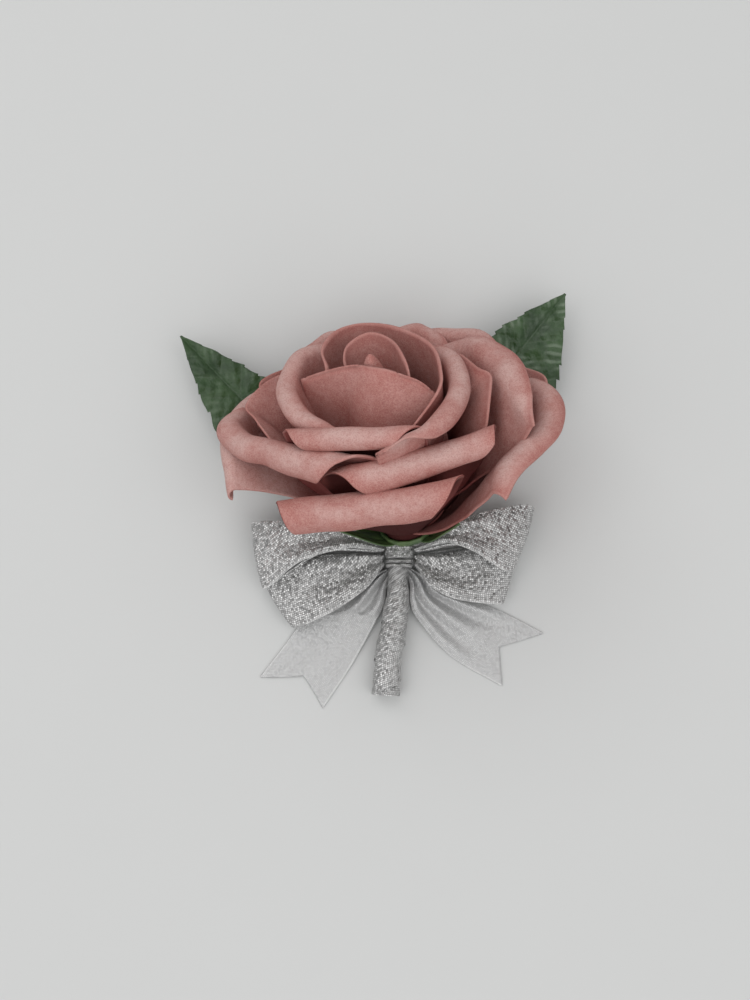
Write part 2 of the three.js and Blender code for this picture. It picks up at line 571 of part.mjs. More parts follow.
function makeLeaf({ rib, blade, half, fold }) {
  const centre = route(vectors(rib));
  const up = new THREE.Vector3(0, 0, 1);
  const grid = [];
  const shares = [];
  for (let tooth = 0; tooth < LEAF.teeth; tooth += 1) {
    shares.push((tooth + 0.02) / LEAF.teeth, (tooth + 0.98) / LEAF.teeth);
  }
  for (const share of shares) {
    const place = blade + (1 - blade) * share;
    const ahead = centre(Math.min(place + 0.01, 1)).sub(centre(place - 0.01)).normalize();
    const right = ahead.clone().cross(up).normalize();
    const top = right.clone().cross(ahead);
    const width = Math.max(bladeWidth(share), 0.05);
    const row = [];
    for (let j = -LEAF.columns; j <= LEAF.columns; j += 1) {
      const side = j < 0 ? 0 : 1;
      const slope = radians(fold[side]);
      const reach = (half[side] * width * Math.abs(j)) / LEAF.columns;
      const height = reach * Math.sin(slope) - LEAF.droop * reach * reach;
      const point = centre(place).addScaledVector(right, Math.sign(j) * reach * Math.cos(slope));
      row.push(point.addScaledVector(top, height));
    }
    grid.push(row);
  }
  const stalk = tube((share) => centre(share * (blade + 0.08)), LEAF.stalk, 8, 8);
  return geometryOf(largest(onTable(joined([sheet(grid, LEAF.thickness), stalk]))));
}

// ---- the assembly ---------------------------------------------------------------------------

const group = new THREE.Group();
group.position.copy(CENTRE).negate();

function add(name, geometry, finish) {
  geometry.computeVertexNormals();
  const [color, roughness, metalness] = FINISH[finish];
  const mesh = new THREE.Mesh(geometry, new THREE.MeshStandardMaterial({ color, roughness, metalness }));
  mesh.name = name;
  group.add(mesh);
}

add('rose_bloom', makeBloom(), 'foam');
add('calyx', makeCalyx(), 'calyx');
add('stem_wire', makeWire(), 'wire');
add('stem_wrap', makeWrap(), 'glitter');
add('bow_knot', makeKnot(), 'glitter');
for (const [name, edges] of Object.entries(LOOPS)) add(name, strip(edges, LOOP_GRID), 'glitter');
for (const [name, edges] of Object.entries(TAILS)) add(name, strip(edges, TAIL_GRID, NOTCH), 'satin');
for (const [name, shape] of Object.entries(LEAVES)) add(name, makeLeaf(shape), 'leaf');

export default group;
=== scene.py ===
"""Lapel flower: a foam rose with leaves, a wound stem and a ribbon bow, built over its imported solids.

Shapes are worked out in millimetres in the rose's or the table's frame and made in metres.
"""

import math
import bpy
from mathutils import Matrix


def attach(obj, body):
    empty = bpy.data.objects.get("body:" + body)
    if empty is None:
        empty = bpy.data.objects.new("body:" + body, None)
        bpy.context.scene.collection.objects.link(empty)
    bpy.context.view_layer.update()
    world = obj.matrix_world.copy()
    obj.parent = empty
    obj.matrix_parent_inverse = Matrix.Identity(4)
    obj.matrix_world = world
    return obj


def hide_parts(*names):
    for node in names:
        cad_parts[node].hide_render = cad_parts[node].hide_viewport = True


bl_info = {
    "name": "Lapel Flower",
    "version": (1, 0, 0),
    "blender": (4, 5, 0),
    "location": "View3D > Sidebar > Lapel Flower",
    "description": "Builds a foam rose, its leaves, stem and ribbon bow",
    "category": "Add Mesh",
}

import bpy
import numpy as np
from bpy.props import FloatProperty, FloatVectorProperty, IntProperty, PointerProperty
from mathutils import Vector

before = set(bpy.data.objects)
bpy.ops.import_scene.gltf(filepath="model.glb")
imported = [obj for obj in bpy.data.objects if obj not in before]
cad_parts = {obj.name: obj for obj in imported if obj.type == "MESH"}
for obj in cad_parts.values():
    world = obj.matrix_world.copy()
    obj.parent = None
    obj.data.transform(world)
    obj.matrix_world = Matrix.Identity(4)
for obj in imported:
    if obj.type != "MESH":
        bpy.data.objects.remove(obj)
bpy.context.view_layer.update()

MM = 0.001
SHIFT = np.array((0.4, 0.45, 0.0))  # from the drawing's origin to the frame's, mm
UP = np.array((0.0, 0.0, 1.0))


# ---- fineness of the meshes, and the look of their surfaces, in mm ----

WALL_STEPS = 30  # points from a petal's root to its roll
ROLL_STEPS = 22  # points round a rolled rim
LIP_STEPS = 8  # points round a rim that only bends
BUD_STEPS, BUD_ROUND = 60, 48
CUP_STEPS, CUP_ROUND = 30, 96
SEPAL_ROWS, SEPAL_COLUMNS = 60, 25
STEM_STEPS = 400
TURN_STEPS = 90  # points round each turn of the ribbon
CORE_EVERY, CORE_SIDES = 8, 24  # stem steps from one ring of the core to the next, and its sides
LOOP_ROWS = 170
TAIL_ROWS = 120
RIBBON_COLUMNS = 57
KNOT_STEPS, KNOT_CORNER_STEPS = 110, 15
LEAF_ROWS = 241
LEAF_COLUMNS = 24  # on each side of the rib
STALK_STEPS, STALK_SIDES = 40, 16
EDGE_BULGE = 0.85  # how far a sheet's edge stands out, as a share of half its thickness
FLOOR_GAP = 0.02  # least height over the floor
RIPPLES = 6  # waves that make up an unevenness
RIPPLE_PITCH = (0.12, 0.55)  # radians per mm, slowest and fastest
LOOP_SEED = 40
LOOP_UNEVENNESS = 0.08
WEAVE_DRIFT = 0.5  # how far the threads wander
ROW_SHIFT = 0.37  # of a cell, from one row of threads to the next


# ---- numbers of the flower, in millimetres and degrees ----

ROSE_BASE = np.array((8.0, -9.2, 10.0))
ROSE_RISE = 44.0
ROSE_TURN = 14.3
ROOT_RADIUS = 4.4
ROOT_HEIGHT = 4.0
ROOT_CALM = 10.0  # distance from the root over which a petal's waves set in
LEAST_SWELL = 4.0
RIM_BAND = 1.8  # width of the redder band along a petal's edge
HIGHLIGHT_BAND = 2.5  # half width of the painted highlight along the top of a roll
UNDERSIDE = 0.45  # how open the outer face of a petal is beside its inner face, for the painted shade
DOME_TOP, DOME_FALL, DOME_DEPTH = 50, 0.022, 26  # the bloom's outline, and the depth under it where the painted shade is full
BUD_TWIST = 0.12
BUD = (
    (0, 2.5), (4.9, 2.5), (5.4, 5), (5.2, 14), (4.7, 26), (4.2, 36), (3.4, 42), (2.6, 46),
    (1.9, 48.4), (1.3, 49.9), (0.8, 50.8), (0.35, 51.35), (0, 51.5),
)

# A petal's crest is a list of (angle, radius, height) round the rose's axis: the middle line of
# the roll along its rim. Its other numbers run from one side of the petal to the other where they
# are lists. roll is the roll's radius, turn how far it curls and skew how far it slants to a side.
# lean is how far the petal tips outward under its roll, root where on the calyx it grows from, and
# belly, rise and arrive how far it swells out low down, starts upward and straightens to its rim.
# square 1 turns its roll across its own crest, and not across the ray from the axis. open, under
# and pale are painted light and shade: how much lighter both its faces are, how light its outer
# face is beside the inner one (below 0 it is painted nearly black), and how much painted highlight
# lightens it all over.
INNER = dict(lean=15, belly=0.5, rise=0.14, arrive=0.5)
MIDDLE = dict(lean=28, belly=0.5, rise=0.12, arrive=0.45)
OUTER = dict(lean=38, belly=0.45, rise=0.12, arrive=0.4)
PETALS = {
    "petal_bud_arch": dict(
        INNER, lean=8, belly=0.25, root=(115, -15), roll=(0.5,), turn=(50,),
        crest=((140, 7.2, 44), (128, 9.2, 46.5), (109, 11.4, 48), (82, 11.9, 49), (49, 9.2, 48.6),
               (-9, 7.6, 47.7), (-42, 9.5, 44.4))),
    "petal_bud_cup": dict(
        INNER, lean=6, belly=0.4, root=(140, -50), roll=(0.6,), turn=(60,),
        crest=((156, 11.5, 43), (143, 12.4, 46), (125, 16.5, 47), (105, 19.3, 47.2), (86, 18.9, 47.2),
               (57, 16, 47), (15, 14.6, 47), (-20, 15.2, 46), (-42, 16.6, 45), (-74, 17.6, 41.5))),
    "petal_bud_shield": dict(
        INNER, open=0.25, under=0.95, lean=(0, -38, -10), belly=1.15, arrive=0.35, root=(165, 305),
        roll=(0.3,), turn=(0,),
        crest=((150, 18.2, 43.5), (155, 11, 47), (168, 4.6, 49.2), (255, 3, 50.2), (298, 6, 50),
               (310, 9, 48.7), (317, 12.1, 47), (322, 14.8, 43.5))),
    "petal_first_left": dict(
        INNER, root=(120, 200), square=1, roll=(1.8, 2.1, 2.1, 2.1, 1.8, 0.8),
        turn=(60, 190, 215, 215, 215, 200, 120, 0),
        crest=((108, 22, 41.5), (130, 22.8, 43), (156, 20.8, 42.5), (175, 19.2, 42.5), (194, 17.7, 42),
               (216, 16.4, 41.5), (228, 15.8, 41.2))),
    "petal_first_front": dict(
        INNER, under=-0.2, root=(215, 278), square=1, skew=(64, 35, -10, -47, -66),
        roll=(1.7, 2.2, 2.25, 2.2, 1.9), turn=(215,),
        crest=((198, 24.2, 41), (213, 20.3, 41.4), (240, 17.5, 42), (268, 18.7, 42.3), (287, 21.8, 42))),
    "petal_first_right": dict(
        INNER, open=0.1, under=0.6, belly=(0.5, 0.5, 0.5, 0.4, 0), rise=(0.14, 0.14, 0.14, 0.2, 0.5),
        root=(10, -75), roll=(1.4, 2, 2.2, 2.2, 2.2, 1.8, 0.8),
        turn=(0, 120, 190, 210, 215, 170, 60, 0),
        crest=((40, 17.5, 40.5), (25, 17.2, 42), (5, 17.4, 42.5), (-24, 18.6, 42.5), (-46, 20, 42.5),
               (-69, 21.8, 42.3), (-85, 22.4, 41.8), (-101, 22.8, 40.8))),
    "petal_corner_right": dict(
        INNER, lean=(20, 52, 52), belly=0.4, root=(30, -18), roll=(0.4,), turn=(30,),
        crest=((52, 19, 36), (23, 20.5, 41), (-2, 22.6, 41.3), (-9, 24.8, 41), (-18, 24.8, 39.5),
               (-36, 25, 35))),
    "petal_corner_left": dict(
        INNER, lean=48, belly=0.4, root=(134, 168), roll=(0.4,), turn=(30,),
        crest=((120, 27, 36), (140, 29.4, 38.5), (156, 31.8, 37.5), (166, 28.5, 37), (182, 25.5, 36))),
    "petal_second_left": dict(
        MIDDLE, root=(155, 250), square=1, roll=(2.2, 2.7, 2.7, 2.8, 3.2, 3.5, 2.8),
        turn=(60, 120, 170, 200, 215, 215, 215, 215, 215, 215, 95, 45, 0),
        crest=((150, 35, 32), (163, 35.6, 34), (176, 31.4, 34.5), (188, 26.6, 35.5), (206, 23.2, 36),
               (234, 21.5, 36.5), (256, 21.5, 36.5))),
    "petal_second_front": dict(
        MIDDLE, under=-0.6, root=(225, 322), square=1, skew=(68, 62, 53, 38, 12, -33),
        roll=(2.6, 3.2, 3.3, 3, 2.7, 2.9), turn=(215, 215, 215, 215, 215, 215, 215, 130),
        crest=((226, 24.4, 33), (239.4, 21.3, 33.6), (255, 20.5, 34), (282.5, 20.4, 34.6),
               (304, 23.8, 35), (320, 29.2, 35.2))),
    "petal_second_right": dict(
        MIDDLE, lean=26, root=(40, -75), belly=(0.5, 0.5, 0.5, 0.45), rise=(0.12, 0.12, 0.12, 0.55),
        roll=(2, 2.8, 4, 4.4, 3.5, 1.5), turn=(60, 100, 110, 110, 90, 50),
        crest=((60, 22, 31), (44, 24.5, 34.6), (28, 27.4, 36.4), (9, 28.6, 36.6), (-10, 30.2, 36),
               (-22, 32.6, 35.2), (-31, 35.6, 34.2))),
    "petal_outer_front": dict(
        OUTER, under=-0.6, lean=34, belly=0.25, root=(215, 290), square=1,
        skew=(32, 12, -11, -31, -48, -60), roll=(3.6, 3.7, 3.7, 3.6, 3.3, 3), turn=(215,),
        crest=((210.4, 32.5, 27), (221.2, 27.8, 27.3), (239.8, 24.6, 28), (265.6, 24.8, 28.7),
               (284, 27.2, 29.4), (296.5, 28.9, 29.8))),
    # Painted light lightens this petal all over.
    "petal_outer_left": dict(
        OUTER, open=0.3, under=1, pale=0.7, lean=(30, 35, 55, 70), belly=(0.45, 0.45, 0.4, 0.35),
        rise=(0.12, 0.15, 0.3, 0.45), root=(140, 190), roll=(2, 3, 3, 3, 2.4, 1.4),
        turn=(90, 150, 170, 170, 190, 160),
        crest=((120, 34, 27), (135, 35, 29.5), (148, 35.8, 30.5), (160, 35.8, 30.4), (172, 35.2, 29),
               (184.5, 36.2, 26))),
    "petal_outer_right": dict(
        OUTER, open=0.3, under=0.9, belly=0.4, rise=0.15, root=(10, -88),
        roll=(2, 3, 3.4, 3.6, 3.8, 4, 3.4), turn=(60, 110, 125, 125, 115, 100, 85),
        crest=((14, 30, 27.5), (4, 33.6, 30), (-6, 36.2, 29.4), (-20, 35.5, 28), (-33, 33.4, 27.8),
               (-46, 32.4, 27.2), (-57, 34.6, 25.2))),
    "petal_point_right": dict(
        OUTER, belly=0.4, rise=0.15, root=(32, 0), roll=(0.5,), turn=(30,),
        crest=((44, 31, 28.5), (30, 33.5, 30), (17, 35.6, 30.8), (7, 38, 31), (-1, 36.8, 30),
               (-12, 33, 27.5))),
    "petal_point_left": dict(
        MIDDLE, lean=24, root=(118, 144), roll=(0.5,), turn=(30,),
        crest=((108, 30.5, 34), (122, 32.5, 35), (134, 35.6, 34.5), (142, 33, 33.5), (155, 31, 31))),
    "petal_back_second_right": dict(
        MIDDLE, lean=20, root=(80, 52), roll=(2,), turn=(40, 150, 180, 180, 150, 40),
        crest=((88, 27, 33), (76, 27.6, 36), (64, 29, 37.2), (57, 28.2, 36.6), (42, 27, 34))),
    "petal_back_second_left": dict(
        MIDDLE, lean=18, root=(128, 98), roll=(1.5,), turn=(30, 120, 150, 150, 120, 30),
        crest=((140, 26, 36), (124, 27.5, 39), (112, 28.3, 39.3), (101, 29.5, 39), (86, 28, 36.5))),
    "petal_back_third_right": dict(
        MIDDLE, root=(62, 36), roll=(2.2,), turn=(40, 150, 170, 170, 150, 60),
        crest=((74, 28, 32), (60, 29.6, 34.5), (48, 31, 35), (36, 33, 34.8), (24, 32.2, 32.5))),
    "petal_back_third_left": dict(
        MIDDLE, lean=32, rise=0.08, root=(134, 96), roll=(2,), turn=(40, 150, 180, 180, 150, 60),
        crest=((150, 30, 28), (134, 31, 31), (116, 31.5, 32.5), (98, 32, 32.5), (80, 31, 30.5))),
    "petal_lowest": dict(
        OUTER, lean=42, belly=0.5, rise=0.08, root=(100, 56), roll=(2.3,),
        turn=(40, 150, 180, 180, 150, 60),
        crest=((118, 33.5, 23.5), (98, 37.5, 25.6), (78, 38.6, 26.6), (58, 38.2, 27), (38, 36, 25.5))),
}

# The calyx's cup is a line of (radius, height), and each sepal one too, at its angle in degrees.
CUP = ((1.2, -1.5), (1.8, -1.55), (2.3, -1.35), (3.1, -0.7), (4.6, 0.2), (5.8, 1.3), (6.6, 2.6))
CUP_RIBS = 15
CUP_RIB_HEIGHT = 0.09
CUP_THICKNESS = 0.8
SEPAL_HALF = 2.9
SEPAL_TIP = 0.12
SEPAL_THICKNESS = 0.7
SEPALS = {
    -160: ((3.4, 0.2), (7.4, 2.4), (11.6, 6), (15.6, 10), (19.5, 14.2)),
    -44: ((3.4, 0.2), (7.8, 2.3), (11.2, 4.8), (13.6, 6.7), (15.4, 8.4)),
    16: ((3.4, 0.2), (8.4, 1.9), (13, 4.7), (17, 8.4), (20, 12.4)),
    88: ((3.4, 0.2), (6.4, 0.5), (9.4, 0.9), (12.4, 1.5), (15, 2.2)),
    160: ((3.4, 0.2), (8.4, 1.9), (13, 4.7), (17, 8.4), (20, 12.4)),
}

# The stem's middle line and its radius, from the calyx to the cut end.
STEM = (
    (7.5, -11.2, 7.7), (6.9, -11.6, 7.1), (5.9, -13, 5.9), (5.6, -14.8, 5.4), (5.45, -17, 5),
    (5.4, -22, 4.6), (5, -27.1, 4.1), (4.3, -31.4, 3.8), (3.1, -38.4, 3.5), (2.6, -46.6, 3.3),
)
STEM_RADII = (1.35, 1.7, 1.95, 2, 2.1, 2.35, 2.3, 2.65, 3.1, 3, 3.3, 3.2, 3.3)
WRAP_THICKNESS = 0.22
LAP_STEP = 0.3  # how much lower a turn lies under the next
CORE_INSET = 1.5  # from the ribbon down to the stem's core
STEM_SHADE = 7.0  # distance from the knot over which the stem's painted shade fades

KNOT_X = (2.4, 9.0)
KNOT_FRONT = -16.6
KNOT_Z = (1.4, 9.4)
KNOT_CORNER = 2.2
KNOT_INSET = 0.25
KNOT_THICKNESS = 0.18
# How much painted shade lies over the whole knot
KNOT_SHADE = 0.75
# Places across the knot's band: y, and how far the ribbon stands out there.
KNOT_PROFILE = (
    (-11.35, -1.4), (-11.05, -0.5), (-11.1, -0.05), (-11.7, 0.12), (-12.8, 0.2), (-13.8, 0.16),
    (-14.4, 0.0), (-14.6, -0.4), (-14.4, -0.9), (-14.75, -0.6), (-15.1, 0.0), (-15.4, 0.06),
    (-15.65, -0.25), (-15.45, -0.8), (-15.8, -0.5), (-16.05, -0.02), (-16.4, 0.0), (-16.65, -0.4),
    (-16.5, -1.4),
)

# Each strip of the bow is its far and its near selvedge, from the knot; a loop's run back to it.
# A pleat is a number of waves, their greatest height and their phase.
LOOP_CROWN, TAIL_CROWN = 0.45, 0.15
LOOP_SELVEDGE, TAIL_SELVEDGE = 0.36, 0.4  # width of the pale edge
BOW_SHADE = 4.5  # distance from the knot over which the ribbon's painted shade fades
LOOP_PLEATS = ((1.3, 0.6, 0.9), (3.2, 1.5, 0.4))
TAIL_PLEATS = ((2.4, 0.95, 0.5), (2.4, 0.95, 0.5))
LOOPS = {
    "bow_loop_upper_left": (
        ((1.9, -11.5, 8), (-6, -7.4, 8.9), (-17, -6.2, 10), (-26.4, -6, 8.8), (-29.2, -6.2, 6.4),
         (-26.2, -6, 4.2), (-14, -6.5, 3.8), (1.9, -11.6, 6.4)),
        ((1.9, -12.9, 8.2), (-6, -12.4, 10.8), (-17, -15.4, 11.8), (-23.6, -20.6, 11),
         (-26.2, -21.9, 9.3), (-23, -19.8, 8.2), (-12, -13.1, 8.2), (1.9, -12.7, 6.8))),
    "bow_loop_lower_left": (
        ((1.9, -13.6, 5.8), (-10, -13.6, 5.4), (-19, -14.6, 5.4), (-25, -16.8, 5), (-27.2, -18, 3.8),
         (-24.8, -17.6, 2.7), (-12, -14.4, 2.6), (1.9, -13.6, 4.2)),
        ((1.9, -16.3, 6), (-2.1, -21.6, 7.4), (-9.7, -26.8, 6.6), (-17, -30.2, 5.4), (-19.6, -30.6, 4.1),
         (-16.8, -29.6, 2.9), (-8, -25, 3), (1.9, -16.3, 4))),
    "bow_loop_upper_right": (
        ((9.5, -11.5, 8), (15, -8, 9.4), (22, -5, 10.6), (33.6, -2.2, 9), (37.6, -2.6, 7),
         (34.2, -3.4, 5.2), (22, -6.4, 4.4), (9.5, -11.6, 6.4)),
        ((9.5, -12.9, 8.2), (16.5, -11.2, 11.2), (23, -13.2, 11.8), (29.4, -17.2, 11),
         (32.2, -17.8, 9.4), (29.2, -16.2, 8), (20, -11.4, 8), (9.5, -12.7, 6.8))),
    "bow_loop_lower_right": (
        ((9.6, -13.6, 5.8), (17, -13.4, 5.6), (24, -12, 5.2), (31.4, -9.8, 4.6), (34, -9.4, 3.5),
         (31, -9.6, 2.4), (20, -11.8, 2.4), (9.6, -13.6, 4.2)),
        ((9.6, -16.3, 6), (12.9, -20.8, 7.4), (18.5, -23.9, 6.6), (27.5, -25.2, 5.4), (30.4, -25, 4.1),
         (27.2, -24.4, 2.9), (17.5, -22.4, 3), (9.6, -16.3, 4))),
}
TAILS = {
    "bow_tail_left": (
        ((2.6, -17.1, 1.9), (-2.6, -19.8, 1.2), (-9.6, -23.8, 0.9), (-17, -29.2, 0.6), (-22, -35.6, 0.4),
         (-27.3, -42.4, 0.36)),
        ((5, -17.1, 1.9), (2.8, -20.6, 2.6), (2.1, -25, 2.2), (0, -29.4, 1.4), (-5.7, -39.6, 0.5),
         (-12.4, -49.7, 0.36))),
    "bow_tail_right": (
        ((8.8, -17.1, 1.9), (11.6, -18.8, 1.3), (15, -21.6, 0.9), (20, -23.6, 0.7), (29, -26.4, 0.5),
         (40.1, -32, 0.36)),
        ((6.6, -17.1, 1.9), (8.3, -20.4, 3.2), (8.4, -24.5, 3.4), (10.2, -28.6, 2), (18.1, -37.4, 0.6),
         (30.2, -44.5, 0.36))),
}
NOTCH = 3.4
TAIL_LENGTH = 36.0

# rib is a leaf's middle line from the calyx to its tip, blade the share of it where the blade
# begins, half and fold the blade's half width and slope to the left and right of the rib, and
# the last key the strength of its painted sheen, in pale streaks.
VEIN_SPACING = 5.2
RIB_LENGTH = 81.25
LEAF_DROOP = 0.022
STALK_RADII = (0.6, 0.3)
LEAVES = {
    "leaf_left": dict(
        rib=((4.2, -10.85, 5.4), (0, -5.6, 3.2), (-8, 1.6, 1.7), (-18, 11.5, 2.8), (-31.5, 23.3, 6),
             (-46.2, 38.3, 8.6)),
        blade=0.36, half=(11.2, 9.0), fold=(14, 14), painted_highlight=0.35),
    "leaf_right": dict(
        rib=((8.4, -10.85, 5), (11, -6, 2.6), (14, 4, 1.2), (22, 18, 2.4), (33.3, 33.3, 6.6),
             (45.3, 48.5, 8.8)),
        blade=0.4, half=(9.6, 14.2), fold=(20, 10), painted_highlight=1.0),
}


# ---- numbers of the stage, in metres and degrees ----

LENS = 59.76
SENSOR_HEIGHT = 36
CAMERA_ELEVATION = 84
CAMERA_DISTANCE = 0.4
FLOOR_HALF = 3
FLOOR_CLOUD = 0.985  # how dark the floor's cloud is beside its colour
SKY_COLOUR = (0.8, 0.8, 0.8)
LIGHT_WIDTH = 0.8
LIGHT_AIM = (0, 0, 0.02)
# Each light's place and its share of the key light's power.
LIGHTS = {
    "back_light": ((-0.28, 0.44, 0.78), 0.75),
    "right_light": ((0.4, -0.32, 0.83), 0.8),
    "left_light": ((-0.42, -0.3, 0.8), 0.58),
}


# ---- curves and surfaces ----


def spread(values, shares):
    """Values spaced evenly over 0..1, read at the shares."""
    values = np.atleast_1d(np.asarray(values, float))
    return np.interp(shares, np.linspace(0, 1, len(values)), values)


def curve(points, shares):
    """Points on an even Catmull-Rom curve at the shares 0..1."""
    points = np.asarray(points, float)
    before, after = 2 * points[0] - points[1], 2 * points[-1] - points[-2]
    full = np.vstack((before, points, after))
    place = np.clip(np.asarray(shares, float), 0, 1) * (len(points) - 1)
    low = np.minimum(place.astype(int), len(points) - 2)
    t = (place - low)[..., None]
    a, b, c, d = full[low], full[low + 1], full[low + 2], full[low + 3]
    square = 2 * a - 5 * b + 4 * c - d
    cube = 3 * b - a - 3 * c + d
    return 0.5 * (2 * b + (c - a) * t + square * t**2 + cube * t**3)


def profile(pairs, steps):
    """A smooth (radius, 0, height) line through pairs of radius and height."""
    return curve([(radius, 0, height) for radius, height in pairs], np.linspace(0, 1, steps))


def unit(vectors):
    """The vectors at length 1."""
    return vectors / np.maximum(np.linalg.norm(vectors, axis=-1, keepdims=True), 1e-9)


def smooth(x):
    """0 below 0, 1 above 1 and an even rise between them."""
    x = np.clip(x, 0, 1)
    return x * x * (3 - 2 * x)


def normals_of(grid, ring=False):
    """The unit normal at each point of a grid, whose rows close on themselves in a ring."""
    if ring:
        wide = np.concatenate((grid[-2:-1], grid, grid[1:2]))
        down = wide[2:] - wide[:-2]
    else:
        down = np.gradient(grid, axis=0)
    return unit(np.cross(down, np.gradient(grid, axis=1)))


def lengths(grid):
    """Distances in mm from the first row and the first column, for a flat pattern of the surface."""
    down = np.linalg.norm(np.diff(grid, axis=0), axis=-1)
    across = np.linalg.norm(np.diff(grid, axis=1), axis=-1)
    u = np.concatenate((np.zeros((1, grid.shape[1])), np.cumsum(down, axis=0)))
    v = np.concatenate((np.zeros((grid.shape[0], 1)), np.cumsum(across, axis=1)), axis=1)
    return u, v


def sides_of(path):
    """Unit vectors along a path, level to its right and up from it."""
    ahead = unit(np.gradient(path, axis=0))
    right = unit(np.cross(ahead, UP))
    return ahead, right, np.cross(right, ahead)


def revolve(radius, height, angle):
    """Points round the upright axis for radii and heights given by angle, in degrees, and row."""
    turn = np.radians(angle)[:, None]
    heights = np.broadcast_to(height, radius.shape)
    return np.stack((radius * np.cos(turn), radius * np.sin(turn), heights), axis=-1)


def rose_frame():
    """The rose's axes in the drawing, as rows: right, away from the stem, and out of its middle."""
    rise, turn = math.radians(ROSE_RISE), math.radians(ROSE_TURN)
    axis = np.array((-math.sin(turn) * math.cos(rise), math.cos(turn) * math.cos(rise), math.sin(rise)))
    right = np.array((math.cos(turn), math.sin(turn), 0.0))
    return np.stack((right, np.cross(axis, right), axis))


def from_rose(points):
    """Points of the rose's own frame, x to the right and z along its axis, in the drawing."""
    return ROSE_BASE + np.asarray(points) @ rose_frame()


def polar(angle, radius, height):
    """The point at an angle in degrees, a radius and a height round the rose's axis."""
    angle = np.radians(angle)
    flat = (radius * np.cos(angle), radius * np.sin(angle))
    return np.stack((*flat, height * np.ones_like(angle)), axis=-1)


def ripple(u, v, seed, height):
    """A smooth, seeded unevenness over a surface, at most about the height given, mm."""
    draw = np.random.default_rng(seed)
    total = np.zeros(np.broadcast(u, v).shape)
    for _ in range(RIPPLES):
        wave = draw.uniform(*RIPPLE_PITCH, 2) * draw.choice((-1, 1), 2)
        total += np.sin(u * wave[0] + v * wave[1] + draw.uniform(0, 2 * np.pi))
    return height * total / (RIPPLES / 2)


# ---- meshes ----


def new_object(name, vertices, faces, materials, face_slots=None, uv=None, values=None):
    """A smooth-shaded mesh object from drawing coordinates in mm."""
    mesh = bpy.data.meshes.new(name)
    points = (np.asarray(vertices) + SHIFT) * MM
    mesh.from_pydata(points.tolist(), [], faces)
    for material in materials:
        mesh.materials.append(material)
    mesh.polygons.foreach_set("use_smooth", np.ones(len(mesh.polygons), bool))
    if face_slots is not None:
        mesh.polygons.foreach_set("material_index", np.asarray(face_slots, np.int32))
    if uv is not None:
        corner = np.zeros(len(mesh.loops), np.int32)
        mesh.loops.foreach_get("vertex_index", corner)
        layer = mesh.uv_layers.new(name="flat")
        layer.data.foreach_set("uv", np.asarray(uv, np.float32)[corner].ravel())
    for key, value in (values or {}).items():
        attribute = mesh.attributes.new(key, "FLOAT", "POINT")
        attribute.data.foreach_set("value", np.asarray(value, np.float32).ravel())
    mesh.validate()
    mesh.update()
    piece = bpy.data.objects.new(name, mesh)
    bpy.context.scene.collection.objects.link(piece)
    return piece


def border(rows, columns):
    """Row and column numbers of the places once round a grid's border."""
    i, j = np.arange(rows), np.arange(columns)
    round_rows = (i[:-1], np.full(columns - 1, rows - 1), i[:0:-1], np.zeros(columns - 1, int))
    round_columns = (np.zeros(rows - 1, int), j[:-1], np.full(rows - 1, columns - 1), j[:0:-1])
    return np.concatenate(round_rows), np.concatenate(round_columns)


def rims_of(grid, ring):
    """Closed loops of point numbers along a grid's open edges, each with the way out of the grid."""
    rows, columns = grid.shape[:2]
    at = np.arange(rows * columns).reshape(rows, columns)
    if ring:
        first_out, last_out = grid[:, 0] - grid[:, 1], grid[:, -1] - grid[:, -2]
        return (at[:, 0], first_out), (at[::-1, -1], last_out[::-1])
    i, j = border(rows, columns)
    inward = grid[np.clip(i, 1, rows - 2), np.clip(j, 1, columns - 2)]
    return ((at[i, j], grid[i, j] - inward),)


def grid_faces(rows, columns, ring=False):
    """Faces between the points of a grid, whose last row joins its first in a ring."""
    at = np.arange(rows * columns).reshape(rows, columns)
    if ring:
        at = np.concatenate((at, at[:1]))
    return np.stack((at[:-1, :-1], at[1:, :-1], at[1:, 1:], at[:-1, 1:]), axis=-1).reshape(-1, 4)


def shell(name, grid, thickness, materials, values, ring=False, inside=None, thick=1.0):
    """A closed sheet with a rounded edge about a grid of points, thickness mm thick.

    Its material slots are outer face, inner face and edge. A ring joins its last row to its first.
    inside holds the values of the inner face where they differ, thick a factor for each place.
    """
    rows, columns = grid.shape[:2]
    total = rows * columns
    points = grid.reshape(-1, 3)
    half = (0.5 * thickness * np.broadcast_to(thick, (rows, columns))).reshape(-1, 1)
    offset = normals_of(grid, ring).reshape(-1, 3) * half
    vertices = [points + offset, points - offset]
    source = [np.arange(total), np.arange(total)]
    front = grid_faces(rows, columns, ring)
    faces = [front, front[:, (0, 3, 2, 1)] + total]
    count = 2 * total
    for loop, out in rims_of(grid, ring):
        middle = count + np.arange(len(loop))
        after, middle_after = np.roll(loop, -1), np.roll(middle, -1)
        upper = np.stack((loop, middle, middle_after, after), axis=1)
        lower = np.stack((middle, loop + total, after + total, middle_after), axis=1)
        faces.append(np.stack((upper, lower), axis=1).reshape(-1, 4))
        vertices.append(points[loop] + unit(out) * half[loop] * EDGE_BULGE)
        source.append(loop)
        count += len(loop)
    vertices = np.concatenate(vertices)
    vertices[:, 2] = np.maximum(vertices[:, 2], FLOOR_GAP)
    source = np.concatenate(source)
    u, v = lengths(grid)
    uv = np.stack((u.ravel(), v.ravel()), axis=1)[source]
    spots = {key: np.array(value, float).ravel()[source] for key, value in values.items()}
    for key, value in (inside or {}).items():
        spots[key][total:2 * total] = np.asarray(value).ravel()
    slots = np.repeat((0, 1, 2), (len(front), len(front), sum(map(len, faces[2:]))))
    slots = np.minimum(slots, len(materials) - 1)
    return new_object(name, vertices, np.concatenate(faces).tolist(), materials, slots, uv, spots)


